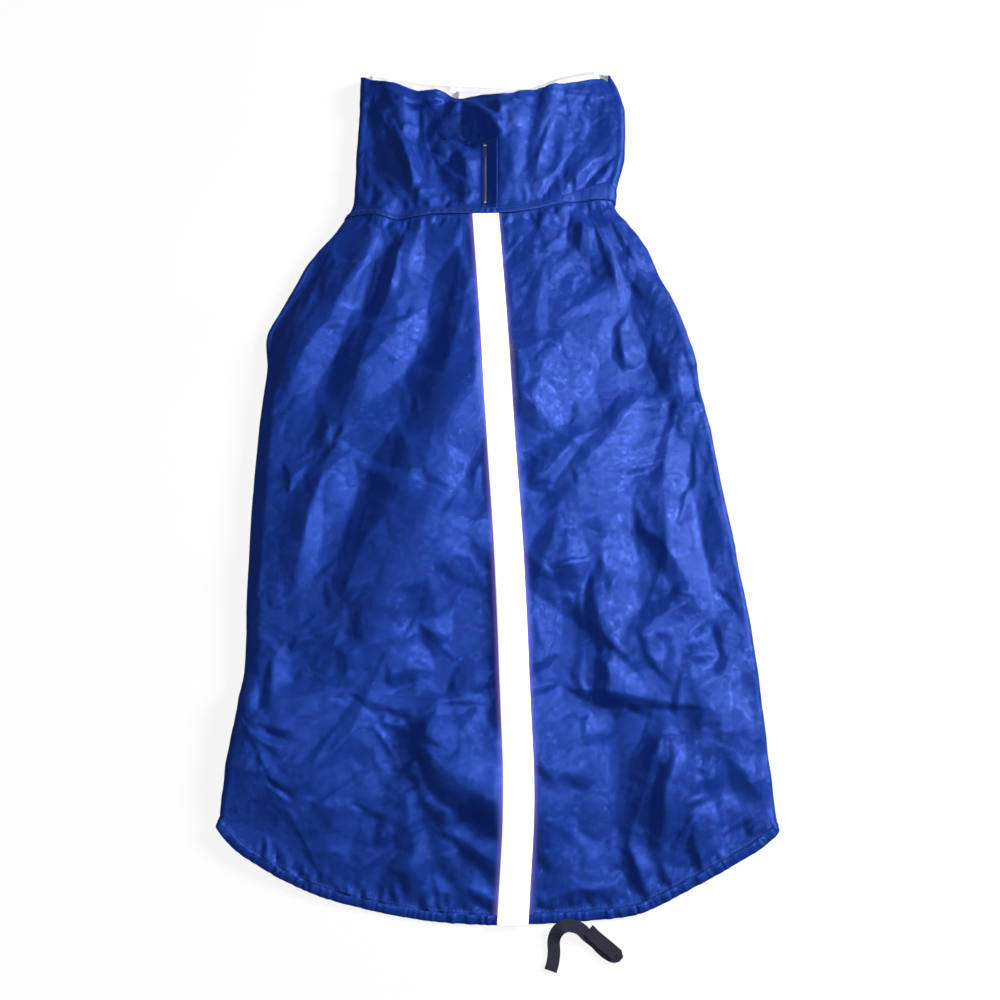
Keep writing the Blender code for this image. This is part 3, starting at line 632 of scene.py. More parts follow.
def broad_relief(x, y):
    """What the broad folds add to the back."""
    total = np.zeros(np.broadcast(x, y).shape)
    for fold in BROAD_FOLDS:
        along_x, along_y = fold.x1 - fold.x0, fold.y1 - fold.y0
        length = math.hypot(along_x, along_y)
        t = ((x - fold.x0) * along_x + (y - fold.y0) * along_y) / length**2
        beyond = np.maximum(0, np.maximum(-t, t - 1)) * length
        off = ((x - fold.x0) * along_y - (y - fold.y0) * along_x) / length
        total += fold.height * np.exp(-((off / fold.width) ** 2) - (beyond / (1.5 * fold.width)) ** 2)
    return total


def seen_on_cloth(path):
    eye = np.array(camera.location) / MM
    marked = np.asarray(path, float) + FACET_ORIGIN
    found = marked
    for _ in range(3):
        height = ring(np.clip(s_of(found[:, 0], found[:, 1]), -1, 1), found[:, 1])[0][:, 2:]
        found = eye[:2] + (marked - eye[:2]) * (1 - height / eye[2])
    return found


def facet_relief(facets, x, y, marked=True):
    """Height that the facets add at each place. A facet opens from a point and fades out at its far end."""
    total = np.zeros(x.shape)
    flat_x, flat_y, flat_total = x.ravel(), y.ravel(), total.ravel()
    for facet in facets:
        path = seen_on_cloth(facet.path) if marked else np.asarray(facet.path, float)
        reach = facet.width * (0.5 + FACET_RETURN)
        low, high = path.min(axis=0) - reach, path.max(axis=0) + reach
        near = np.flatnonzero((flat_x > low[0]) & (flat_x < high[0]) & (flat_y > low[1]) & (flat_y < high[1]))
        if not len(near):
            continue
        px, py = flat_x[near], flat_y[near]
        steps = np.diff(path, axis=0)
        lengths = np.linalg.norm(steps, axis=1)
        run = np.concatenate([[0], np.cumsum(lengths)])
        best, off, at = np.full(len(near), np.inf), np.zeros(len(near)), np.zeros(len(near))
        for start, step, length, before in zip(path, steps, lengths, run):
            t = np.clip(((px - start[0]) * step[0] + (py - start[1]) * step[1]) / length**2, 0, 1)
            dx, dy = px - start[0] - t * step[0], py - start[1] - t * step[1]
            away = np.hypot(dx, dy)
            closer = away < best - 1e-9
            side = np.sign(step[0] * dy - step[1] * dx)
            best = np.where(closer, away, best)
            off = np.where(closer, away * side, off)
            at = np.where(closer, before + t * length, at)
        whole = path[-1] - path[0]
        towards = np.sign(-whole[1] * WINDOW[0] + whole[0] * WINDOW[1]) or 1.0
        half = facet.width / 2 * np.clip(at / (facet.opening * run[-1]), 0, 1) + 1e-6
        fade = np.clip((run[-1] - at) / (FACET_FADING * run[-1]), 0, 1)
        inside = np.clip(off, -half, half)
        outside = np.clip(1 - (np.abs(off) - half) / (FACET_RETURN * half * 2), 0, 1)
        level = np.where(np.abs(off) <= half, 1.0, outside)
        flat_total[near] -= facet.turn * FACET_SLOPE * towards * inside * level * fade
    return flat_total.reshape(x.shape)


def crumple(seed, count, x_range, y_range, lengths, widths, turn, lean):
    """Chance facets for the small creases between the main ones; lean is their direction in degrees."""
    chance = np.random.default_rng(seed)
    made = []
    for _ in range(count):
        middle = np.array([chance.uniform(*x_range), chance.uniform(*y_range)])
        angle = math.radians(chance.uniform(*lean))
        half = chance.uniform(*lengths) / 2 * np.array([math.cos(angle), math.sin(angle)])
        kink = chance.normal(0, 0.12, 2) * np.linalg.norm(half)
        path = [tuple(middle - half), tuple(middle + kink), tuple(middle + half)]
        width = chance.uniform(*widths)
        made.append(Facet(width, chance.uniform(0.4, 1.0) * turn * chance.choice([-1, 1]), path))
    return made


def back_x(s, y):
    here = station(y)
    left, right = here.left + here.edge / 2, here.right - here.edge / 2
    return left + (right - left) * (s + 1) / 2


def s_of(x, y):
    here = station(y)
    left, right = here.left + here.edge / 2, here.right - here.edge / 2
    return 2 * (x - left) / (right - left) - 1


def hem_y(x):
    return smooth_value(HEM, x)


def neck_y(x):
    return smooth_value(NECK_SEAM, x)


def tape_x(y):
    return smooth_value(TAPE_MIDDLE, y)


def ring(s, y, relief=0.0):
    """Points of the coat's outer side, and the directions out of the cloth there."""
    s, y, relief = np.broadcast_arrays(np.asarray(s, float), np.asarray(y, float), relief)
    side, round_s = np.sign(s), np.abs(s)
    here = station(y)
    flat = np.clip(s, -1, 1)
    x = back_x(flat, y)
    high = here.edge + here.crown * (1 - np.abs(flat) ** CROWN_POWER) + broad_relief(x, y) * (1 - flat**8)
    down = (1 - flat**4) * (1 - smoothstep((y - hem_y(x)) / HEM_RAMP))
    top = np.stack([x, y, high * (1 - down) + HEM_LIFT * down + relief], axis=-1)
    radius = here.edge / 2
    fold_x = np.where(side > 0, here.right, here.left)
    angle = math.pi * (1.5 - np.clip(round_s, 1, 2))
    out = np.stack([side * np.cos(angle), 0 * y, np.sin(angle)], axis=-1)
    centre = np.stack([fold_x - side * radius, y, radius], axis=-1)
    turned = centre + out * (radius + relief)[..., None]
    turned[..., 2] = np.maximum(turned[..., 2], 0.0)
    beyond = fold_x - side * (radius + (round_s - 2) * UNDER_UNIT)
    under = np.stack([beyond, y, np.maximum(-relief, 0)], axis=-1)
    on_top, on_fold = (round_s <= 1)[..., None], (round_s < 2)[..., None]
    points = np.where(on_top, top, np.where(on_fold, turned, under))
    ways = np.where(on_top, (0, 0, 1), np.where(on_fold, out, (0, 0, -1)))
    return points, ways


def girth_x(s, y):
    """The x that the cloth would have if the folds were laid out flat."""
    here = station(y)
    turn = np.clip(np.abs(s) - 1, 0, 1) * math.pi * here.edge / 2
    return back_x(np.clip(s, -1, 1), y) + np.sign(s) * (turn + np.maximum(np.abs(s) - 2, 0) * UNDER_UNIT)


def settled(step, start):
    """Where a value that depends on itself comes to rest."""
    value = start
    for _ in range(8):
        value = step(value)
    return value


def back_rows(s, row):
    """y on the back panel: from the neck seam at row 0 to the casing at row 1, or to the flank's hem."""
    flat, turn = np.clip(s, -1, 1), np.clip(np.abs(s) - 1, 0, 1)

    def seam_x(y):
        return ring(flat, y)[0][..., 0]

    def casing_y(y):
        x = seam_x(y)
        slope = np.minimum(np.abs(hem_y(x + 1) - hem_y(x - 1)) / 2, 1)
        return hem_y(x) + (CASING_WIDTH + CASING_GAP) * np.hypot(1, slope)

    top = settled(lambda y: neck_y(seam_x(y)), 200.0 + 0 * flat) - GAP / 2
    low = settled(casing_y, -280.0 + 0 * flat)
    low = low + (FLANK_HEM_OUTER - low) * turn
    return top + (low - top) * row


def grid_faces(wide, high, first=0, facing_up=True):
    """Quads over a grid whose rows of points lie one after another."""
    index = first + np.arange(wide * high).reshape(high, wide)
    quads = np.stack([index[:-1, :-1], index[:-1, 1:], index[1:, 1:], index[1:, :-1]], axis=-1).reshape(-1, 4)
    return (quads if facing_up else quads[:, ::-1]).tolist()


def cut_area(grid):
    """Area in square metres of the cloth in a grid of flat points in millimetres."""
    across, down = np.diff(grid, axis=1)[:-1], np.diff(grid, axis=0)[:, :-1]
    return float(np.abs(across[..., 0] * down[..., 1] - across[..., 1] * down[..., 0]).sum()) * MM * MM


BACK_COARSE, LINING_STEP = (60, 90), 4
LINING_DROP = 0.4  # the lining hangs this far clear of the shell's deepest creases
CALM_SHARE = 0.45  # share of a crushed net's height that is left where the cloth is calm
back_s = np.concatenate(
    [
        np.linspace(-SEAM_S, -2, 3)[:-1],
        np.linspace(-2, -1, 11)[:-1],
        np.linspace(-1, 1, 4 * BACK_COARSE[0] - 24 + 1),
        np.linspace(1, 2, 11)[1:],
        np.linspace(2, SEAM_S, 3)[1:],
    ]
)
back_row = np.linspace(0, 1, 4 * BACK_COARSE[1] + 1)[:, None]
back_y = back_rows(back_s[None, :] + 0 * back_row, back_row)
back_girth = girth_x(back_s[None, :], back_y)
gathers = np.random.default_rng(11)


def hem_gathers(count, x_range):
    """Short folds that the elastic draws into the cloth above the hem."""
    made, x = [], x_range[0]
    while x < x_range[1] and len(made) < count:
        foot = float(hem_y(x)) + CASING_WIDTH
        tall, drift = gathers.uniform(5, 10) * gathers.choice([1.0, 1.0, 1.9]), gathers.normal(0, 1.2)
        path = [(x, foot - 3), (x + drift / 2, foot + tall / 2), (x + drift, foot + tall)]
        width = gathers.uniform(1.8, 3.0)
        made.append(Facet(width, gathers.uniform(0.5, 1.0) * gathers.choice([-1, 1]), path))
        x += gathers.uniform(1.8, 4.6)
    return made


def seam_gathers(count, x_range):
    """Short folds under the neck seam."""
    made = []
    for x in np.sort(gathers.uniform(*x_range, count)):
        top, tall = float(neck_y(x)) + 3, gathers.uniform(8, 26)
        half_way = (x + gathers.normal(0, 2), top - tall / 2)
        path = [(x, top), half_way, (x + gathers.normal(0, 3), top - tall)]
        width = gathers.uniform(2.5, 5.0)
        made.append(Facet(width, gathers.uniform(0.25, 0.55) * gathers.choice([-1, 1]), path))
    return made


def crushed(seed, spacing, stretch, lean, rise, x_range, y_range):
    """A net of triangles over the cloth, long in one direction, whose corners stand at chance heights."""
    chance = np.random.default_rng(seed)
    count = round(np.ptp(x_range) * np.ptp(y_range) / (spacing * spacing * stretch))
    corners = np.column_stack([chance.uniform(*x_range, count), chance.uniform(*y_range, count)])
    calm = 0.5 + 0.5 * np.sin(corners[:, 0] / 31 + seed) * np.sin(corners[:, 1] / 43 - corners[:, 0] / 90)
    heights = chance.uniform(-rise, rise, count) * (CALM_SHARE + (1 - CALM_SHARE) * calm)
    turn = math.radians(lean)
    along = corners @ (math.cos(turn), math.sin(turn)) / stretch
    across = corners @ (-math.sin(turn), math.cos(turn))
    flat = [Vector(place) for place in zip(along, across)]
    made = geometry.delaunay_2d_cdt(flat, [], [], 0, 1e-6)
    kept = np.array([first[0] for first in made[3]])
    return corners[kept], heights[kept], np.array([face for face in made[2]])


def crushed_relief(net, x, y):
    """Flat facets with sharp creases between them: the height of the net's triangles at each place."""
    corners, heights, triangles = net
    total = np.zeros(x.shape)
    flat_x, flat_y, flat_total = x.ravel(), y.ravel(), total.ravel()
    order = np.argsort(flat_y)
    sorted_y = flat_y[order]
    for triangle in triangles:
        (ax, ay), (bx, by), (cx, cy) = corners[triangle]
        first, last = np.searchsorted(sorted_y, (min(ay, by, cy), max(ay, by, cy)))
        near = order[first:last]
        near = near[(flat_x[near] >= min(ax, bx, cx)) & (flat_x[near] <= max(ax, bx, cx))]
        twice = (bx - ax) * (cy - ay) - (cx - ax) * (by - ay)
        if not len(near) or abs(twice) < 1e-9:
            continue
        px, py = flat_x[near] - ax, flat_y[near] - ay
        b = (px * (cy - ay) - py * (cx - ax)) / twice
        c = (py * (bx - ax) - px * (by - ay)) / twice
        within = (b >= -1e-6) & (c >= -1e-6) & (b + c <= 1 + 1e-6)
        held = heights[triangle]
        flat_total[near[within]] = (held[0] * (1 - b - c) + held[1] * b + held[2] * c)[within]
    return flat_total.reshape(x.shape)


small_creases = crumple(3, 130, (-190, 190), (-310, 200), (12, 46), (2.2, 5.0), 0.36, (25.0, 155.0))
fine_creases = crumple(4, 260, (-190, 190), (-310, 200), (6, 20), (1.6, 3.0), 0.30, (0.0, 180.0))
cloth_area = ((-200, 200), (-330, 330))
back_nets = [
    crushed(51, 22.0, 2.1, 80.0, 2.6, *cloth_area),
    crushed(52, 10.0, 2.0, 68.0, 0.95, *cloth_area),
    crushed(53, 5.4, 1.8, 100.0, 0.28, *cloth_area),
]
HEM_SINK, OPEN_SINK, SINK_RAMP = 1.2, 8.0, 24.0  # creases go no deeper than this at the hem and past it
CREASE_HIGH = 5.0  # creases that stand higher than this are pressed down
TAPE_STIFF, SEAM_FLAT = 0.35, 0.15  # share of a crease that is left under the tape and at a seam
SIDE_FADE, SIDE_FADE_START, SIDE_FADE_RUN = 0.75, 0.985, 0.5  # s where creases fade at a side fold
edge_gathers = hem_gathers(130, (-158, 170)) + seam_gathers(44, (-105, 86))


def back_relief(x, y):
    """Height of all the back's creases at each place."""
    relief = facet_relief(BACK_FACETS, x, y)
    relief = relief + facet_relief(small_creases + fine_creases + edge_gathers, x, y, False)
    relief += sum(crushed_relief(net, x, y) for net in back_nets)
    pressed = CREASE_HIGH + CREASE_HIGH * np.tanh((relief - CREASE_HIGH) / CREASE_HIGH)
    relief = np.where(relief > CREASE_HIGH, pressed, relief)
    from_tape = np.abs(x - tape_x(y)) - TAPE_WIDTH / 2
    stiffened = TAPE_STIFF + (1 - TAPE_STIFF) * smoothstep((from_tape + 2) / 8)
    off_seams = smoothstep((neck_y(x) - y) / 6) * smoothstep((y - hem_y(x) - 4) / 9 + 0.35)
    relief = relief * stiffened * (SEAM_FLAT + (1 - SEAM_FLAT) * off_seams)
    return np.maximum(relief, -HEM_SINK - OPEN_SINK * smoothstep((y - hem_y(x) - CASING_WIDTH) / SINK_RAMP))


def side_fade(s):
    """Creases flatten where the cloth turns round a side fold."""
    return 1 - SIDE_FADE * smoothstep((np.abs(s) - SIDE_FADE_START) / SIDE_FADE_RUN)


back_height = back_relief(back_girth, back_y) * side_fade(back_s)
back_points = ring(back_s[None, :] + 0 * back_row, back_y, back_height)[0]


def lowest_near(values, reach):
    """The lowest value within reach cells of each cell."""
    found = values
    for axis in (0, 1):
        moved = [np.roll(found, k, axis) for k in range(-reach, reach + 1)]
        found = np.minimum.reduce(moved)
    return found


def lined_grid(outer, lining, step):
    """A closed wall: a fine outer grid, a lining grid with every step-th point, and rims between them."""
    high, wide = outer.shape[:2]
    rows, columns = lining.shape[:2]
    first = high * wide
    faces = grid_faces(wide, high, facing_up=False)
    lining_faces = grid_faces(columns, rows, first)

    def fine(row, column):
        return row * wide + column

    def coarse(row, column):
        return first + row * columns + column

    rims = []
    for k in range(columns - 1):
        run = range(k * step, (k + 1) * step + 1)
        rims.append([fine(0, c) for c in run] + [coarse(0, k + 1), coarse(0, k)])
        last = [fine(high - 1, c) for c in reversed(run)]
        rims.append(last + [coarse(rows - 1, k), coarse(rows - 1, k + 1)])
    for k in range(rows - 1):
        run = range(k * step, (k + 1) * step + 1)
        rims.append([fine(r, 0) for r in reversed(run)] + [coarse(k, 0), coarse(k + 1, 0)])
        rims.append([fine(r, wide - 1) for r in run] + [coarse(k + 1, columns - 1), coarse(k, columns - 1)])
    points = np.concatenate([outer.reshape(-1, 3), lining.reshape(-1, 3)])
    slots = [0] * len(faces) + [1] * len(lining_faces) + [0] * len(rims)
    return points, faces + lining_faces + rims, slots


nylon = Finish(
    "blue_nylon",
    {
        "Metallic": 0.0,
        "Specular IOR Level": 0.9,
        "Specular Tint": (0.085, 0.215, 1.0, 1.0),
        "Emission Strength": 1.0,
        "Sheen Weight": 0.12,
        "Sheen Roughness": 0.35,
        "Sheen Tint": (0.08, 0.2, 1.0, 1.0),
    },
)
THREAD_PITCH = 0.42  # millimetres between the taffeta's threads
PAINTED_GLOW_REACH = 1.9  # the tape's painted glow spills this far over the cloth
along, across = nylon.uv()
weave = (along * (math.tau / THREAD_PITCH)).sine() * (across * (math.tau / THREAD_PITCH)).sine()
wear = nylon.noise(55.0, 4.0, 0.55)
rub = nylon.noise(7.0, 4.0, 0.6)
sway = nylon.node("ShaderNodeTexNoise", {}, {"Vector": nylon.place(), "Scale": 60.0}, "Color")
swayed = nylon.node("ShaderNodeVectorMath", {"operation": "ADD"}, {0: nylon.place(), 1: sway})
crinkle_cells = {"Vector": swayed, "Scale": 85.0}
crinkle = nylon.node("ShaderNodeTexVoronoi", {"feature": "DISTANCE_TO_EDGE"}, crinkle_cells, "Distance")
creasing = crinkle.capped(0.0, 0.35)
nylon.feed("Base Color", nylon.mix(wear * 0.7 + rub * 0.3, (0.007, 0.030, 0.225), (0.010, 0.038, 0.255)))
nylon.feed("Roughness", rub * 0.06 + 0.255)
# Painted glow: near the tape the cloth gets a violet-blue emission that stands in for the tape's light
# spilling onto it.
painted_glow_share = nylon.node("ShaderNodeAttribute", {"attribute_name": "painted_tape_glow"}, {}, "Fac")
nylon.feed("Emission Color", nylon.mix(painted_glow_share, (0.0, 0.0, 0.0), (0.13, 0.085, 0.25)))
soft_dents = nylon.bump(nylon.noise(9.0, 2.0, 0.5), 0.10)
nylon.feed("Normal", nylon.bump(creasing * 0.5 + weave * 0.03, 0.12, soft_dents))

LINING_PITCH = 0.5
lining_white = Finish("white_lining", {"Specular IOR Level": 0.3, "Sheen Weight": 0.2})
along, across = lining_white.uv()
weave = (along * (math.tau / LINING_PITCH)).sine() * (across * (math.tau / LINING_PITCH)).sine()
soft = lining_white.noise(14.0, 3.0)
lining_white.feed("Base Color", lining_white.mix(soft, (0.74, 0.76, 0.80), (0.84, 0.85, 0.88)))
lining_white.feed("Roughness", soft * 0.1 + 0.7)
lining_white.feed("Normal", lining_white.bump(weave * 0.1 + soft * 0.6, 0.3))

back_hang = lowest_near(np.minimum(back_height, 0), LINING_STEP)[::LINING_STEP, ::LINING_STEP]
lining_s = back_s[None, ::LINING_STEP] + 0 * back_row[::LINING_STEP]
lining_y = back_y[::LINING_STEP, ::LINING_STEP]
lining_base, lining_ways = ring(lining_s, lining_y)
side_hang = np.abs(lining_s) > 1
lining_depth = WALL + np.where(side_hang, 0.0, LINING_DROP - back_hang)
lining_points = lining_base - lining_ways * lining_depth[..., None]
lining_points[..., 2] = np.maximum(lining_points[..., 2], 0.1)
points, faces, slots = lined_grid(back_points, lining_points, LINING_STEP)
back_uv = np.concatenate(
    [
        np.stack([back_girth, back_y], axis=-1).reshape(-1, 2),
        np.stack([girth_x(lining_s, lining_y), lining_y], axis=-1).reshape(-1, 2),
    ]
)
back = add_piece("back_cape", points, faces, [nylon, lining_white], back_uv, slots)
# The painted glow beside the tape, fading out within a few millimetres of its edges.
from_tape = np.abs(back_points[..., 0] - tape_x(back_points[..., 1])) - TAPE_WIDTH / 2
painted_glow_near_tape = np.exp(-((np.maximum(from_tape, 0) / PAINTED_GLOW_REACH) ** 2)) * (np.abs(back_s) < 1)
glow = np.zeros(len(points))
glow[: back_height.size] = painted_glow_near_tape.ravel()
back.data.attributes.new("painted_tape_glow", "FLOAT", "POINT").data.foreach_set("value", glow)
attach(back, "root")
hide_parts("back_panel")


# Underside. The same nylon and lining make the chest fronts, which close at the throat, and the flanks,
# which the belly band joins. They lie flat on the floor, seamed to the back just under its side folds.
FLANK_WIDTH, FLANK_HEM_INNER, LEG_EDGE_INNER = 98.0, -150.0, 45.0
BACK_STEPS, CHEST_STEPS, LEG_STEPS = 22, 4, 5
BELLY_BAND_FRONT, BELLY_BAND_REAR = 5.0, -45.0
CHEST_LOWER_EDGE = [(0, 58), (40, 64), (65, 84), (85, 108), (110, 120), (165, 112)]
LEFT_END_X, RIGHT_END_X = 14.0, -34.0
STACK, STACK_RAMP = 3.2, 14.0  # the right front climbs this high over the left one
under_creases = crumple(21, 260, (-180, 180), (-260, 210), (14, 60), (3.0, 8.0), 0.16, (0.0, 180.0))
under_creases += crumple(22, 500, (-180, 180), (-260, 210), (6, 18), (1.8, 3.4), 0.12, (0.0, 180.0))


def front_lift(x, crosses):
    return STACK * smoothstep((LEFT_END_X + 2 * GAP + STACK_RAMP - x) / STACK_RAMP) * crosses


def under_relief(x, y):
    """Underneath, creases only rise into the coat."""
    return np.clip(facet_relief(under_creases, x, y, False), 0, 1.1)


def panel(name, points, uv, wall, finishes, node, facing_up=True, leave_out=None):
    """A piece of cloth from a grid of points on its outer side, given its wall inwards."""
    high, wide = points.shape[:2]
    faces = grid_faces(wide, high, facing_up=facing_up)
    if leave_out is not None:
        faces = [face for face, gone in zip(faces, leave_out.ravel()) if not gone]
        kept = np.unique(faces)
        renumbered = np.zeros(high * wide, int)
        renumbered[kept] = np.arange(len(kept))
        faces = renumbered[np.array(faces)].tolist()
        points, uv = points.reshape(-1, 3)[kept], uv.reshape(-1, 2)[kept]
    piece = add_piece(name, points, faces, finishes, uv)
    solid = piece.modifiers.new("wall", "SOLIDIFY")
    solid.thickness = wall * MM
    solid.offset = -1.0
    solid.material_offset = len(finishes) - 1
    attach(piece, "root")
    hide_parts(node)
    return piece


def declare_cloth(cut):
    """Only works out the area of cut, the grid of the cloth as it was cut, laid flat; the area is not kept.
    """
    cut_area(cut)


def flank_grid(side):
    under, row = np.linspace(0, 1, 37)[None, :], np.linspace(0, 1, 111)[:, None]
    outer = back_rows(np.array([SEAM_S * side]), LEG_STEPS / BACK_STEPS)[0]
    front = LEG_EDGE_INNER + (outer - LEG_EDGE_INNER) * (1 - under) ** 2
    rear = FLANK_HEM_OUTER + (FLANK_HEM_INNER - FLANK_HEM_OUTER) * under
    y = front + (rear - front) * row
    start = SEAM_S + GAP / UNDER_UNIT
    reach = 2 + (FLANK_WIDTH - station(y).edge / 2) / UNDER_UNIT
    points = ring(side * (start + (reach - start) * under), y)[0]
    points[..., 2] += under_relief(points[..., 0], y) * smoothstep((1 - np.abs(2 * row - 1)) * 8)
    return points


def chest_grid(side, free_edge_x):
    across, row = np.linspace(0, 1, 57)[None, :], np.linspace(0, 1, 45)[:, None]
    seam_foot = back_rows(np.array([SEAM_S * side]), CHEST_STEPS / BACK_STEPS)[0]

    def x_at(y):
        seam_x = ring(SEAM_S * side, y)[0][..., 0] - side * GAP
        return seam_x + (free_edge_x - seam_x) * across

    def height(y):
        x = x_at(y)
        top, low = neck_y(x) - GAP / 2, smooth_value(CHEST_LOWER_EDGE, np.abs(x))
        return top + (low + (seam_foot - low) * (1 - across) ** 3 - top) * row

    y = settled(height, 150.0 + 0 * across * row)
    x = x_at(y)
    rise = under_relief(x, y) * smoothstep(np.abs(x + 10) / 20 - 0.8)
    return np.stack([x, y, front_lift(x, side > 0) + rise], axis=-1)


flanks = []
for name, side in (("left", -1), ("right", 1)):
    grid = flank_grid(side)
    piece = panel(
        name + "_flank_cloth",
        grid,
        grid[..., :2],
        WALL,
        [nylon, lining_white],
        name + "_flank",
        facing_up=side < 0,
    )
    flanks.append((name, side, piece, grid))
for name, side, free_edge in (("left", -1, LEFT_END_X), ("right", 1, RIGHT_END_X)):
    grid = chest_grid(side, free_edge)
    piece = panel(
        name + "_chest_cloth",
        grid,
        grid[..., :2],
        WALL,
        [nylon, lining_white],
        name + "_chest",
        facing_up=side < 0,
    )
    declare_cloth(grid)

band_across, band_row = np.linspace(0, 1, 73)[None, :], np.linspace(0, 1, 25)[:, None]
band_y = BELLY_BAND_FRONT + (BELLY_BAND_REAR - BELLY_BAND_FRONT) * band_row
band_left, band_right = station(band_y).left + FLANK_WIDTH + GAP, station(band_y).right - FLANK_WIDTH - GAP
band_x = band_left + (band_right - band_left) * band_across
band_grid = np.stack([band_x, band_y + 0 * band_across, under_relief(band_x, band_y + 0 * band_x)], axis=-1)
belly_band = panel(
    "belly_band_cloth",
    band_grid,
    band_grid[..., :2],
    WALL,
    [nylon, lining_white],
    "belly_band",
)
declare_cloth(band_grid)


# Reflective tape. A 20 mm strip of glass-bead tape, silver-white, stitched down both edges along the
# middle of the back and turned in under the hem. Its glow is painted: an emission stands in for the light
# that it throws back.
STITCH_PITCH = 2.5
TAPE_LIFT, TAPE_THICK, TAPE_TAIL = 0.55, 0.5, 5.2
EDGE_DIP, STITCH_DIP, TAIL_BULGE = 0.18, 0.05, 1.7
tape_column = np.linspace(-0.5, 0.5, 17)[None, :]
tape_run = np.linspace(0, 1, 361)[:, None]
tape_top = neck_y(tape_x(190.0)) - GAP / 2
tape_low = hem_y(tape_x(-320.0)) + CASING_WIDTH - TAPE_TAIL - 0.5
tape_y = tape_top + (tape_low - tape_top) * tape_run + 0 * tape_column
tape_grid_x = tape_x(tape_y) + tape_column * TAPE_WIDTH
cloth_y = np.maximum(tape_y, hem_y(tape_grid_x) + CASING_WIDTH + CASING_GAP)
tape_base = ring(s_of(tape_grid_x, cloth_y), cloth_y, back_relief(tape_grid_x, cloth_y))[0][..., 2]
over_hem = (cloth_y - tape_y) / TAPE_TAIL  # 0 on the back, up to 1 at the tape's turned end
edge_dip = EDGE_DIP * np.abs(2 * tape_column) ** 8
stitch_dip = STITCH_DIP * np.sin(tape_y * math.tau / STITCH_PITCH) * np.abs(2 * tape_column) ** 12
tail_bulge = TAIL_BULGE * np.sin(over_hem * 2.3) * (over_hem > 0)
tape_height = tape_base + TAPE_LIFT - edge_dip + stitch_dip + tail_bulge
tape_points = np.stack([tape_grid_x, tape_y, tape_height], axis=-1)

# The emission strength sets the tape's painted glow.
tape_silver = Finish("tape_silver", {"Specular IOR Level": 0.6, "Metallic": 0.0, "Emission Strength": 0.85})
tape_across = tape_silver.uv()[1]
beads = tape_silver.node(
    "ShaderNodeTexVoronoi", {"feature": "F1"}, {"Vector": tape_silver.place(), "Scale": 3400.0}, "Distance"
)
mottle = tape_silver.noise(6.0, 3.0)
painted_fringe_edge = tape_across.size().capped(9.0, 10.0)
tape_silver.feed("Base Color", tape_silver.mix(mottle, (0.80, 0.80, 0.82), (0.90, 0.90, 0.90)))
tape_silver.feed("Roughness", beads * 0.2 + 0.4)
# Painted glow: the emission is white down the middle, with a painted violet fringe of glow at both edges.
tape_silver.feed("Emission Color", tape_silver.mix(painted_fringe_edge, (1.0, 0.985, 0.97), (0.62, 0.50, 0.66)))
tape_silver.feed("Normal", tape_silver.bump(beads * 0.5 + mottle * 0.5, 0.08))
tape_uv = np.stack([tape_y, tape_column * TAPE_WIDTH + 0 * tape_y], axis=-1)
tape = panel(
    "back_tape",
    tape_points,
    tape_uv,
    TAPE_THICK,
    [tape_silver],
    "reflective_tape",
    facing_up=False,
)
declare_cloth(tape_uv)


# Collar. A tall tube of the same nylon, folded flat, open and overlapping at the throat. A leash slit
# is cut at the centre back inside a narrow stitched welt. Its free edge is turned over the lining.
COLLAR_BACK_EDGE = [
    (-110, 311.5),
    (-107, 309.5),
    (-76, 297),
    (-61, 292),
    (-42, 291.5),
    (-32, 285.2),
    (-15, 285),
    (-4, 282),
    (7, 281.6),
    (23, 289),
    (44, 295),
    (83, 310),
    (90, 306),
    (97, 297),
]
COLLAR_LEFT_FRONT_EDGE = [(-108, 322), (-96, 319.5), (-60, 313), (-36, 311), (20, 308)]
COLLAR_RIGHT_FRONT_EDGE = [
    (-34, 304),
    (-7, 302.4),
    (10, 304.4),
    (34, 312),
    (50, 319),
    (83, 325),
    (91, 318),
    (98, 303),
]
BAND_LEFT, BAND_RIGHT, BAND_WIDENS_X, BAND_FULL_X = 3.0, 14.0, 35.0, 92.0
SLIT_X, SLIT_WIDTH = -9.5, 1.2
SLIT_ROWS = (0.08, 0.57)
WELT_LEFT, WELT_RIGHT, WELT_TOP, WELT_WALL = 3.5, 9.0, 0.62, 0.5
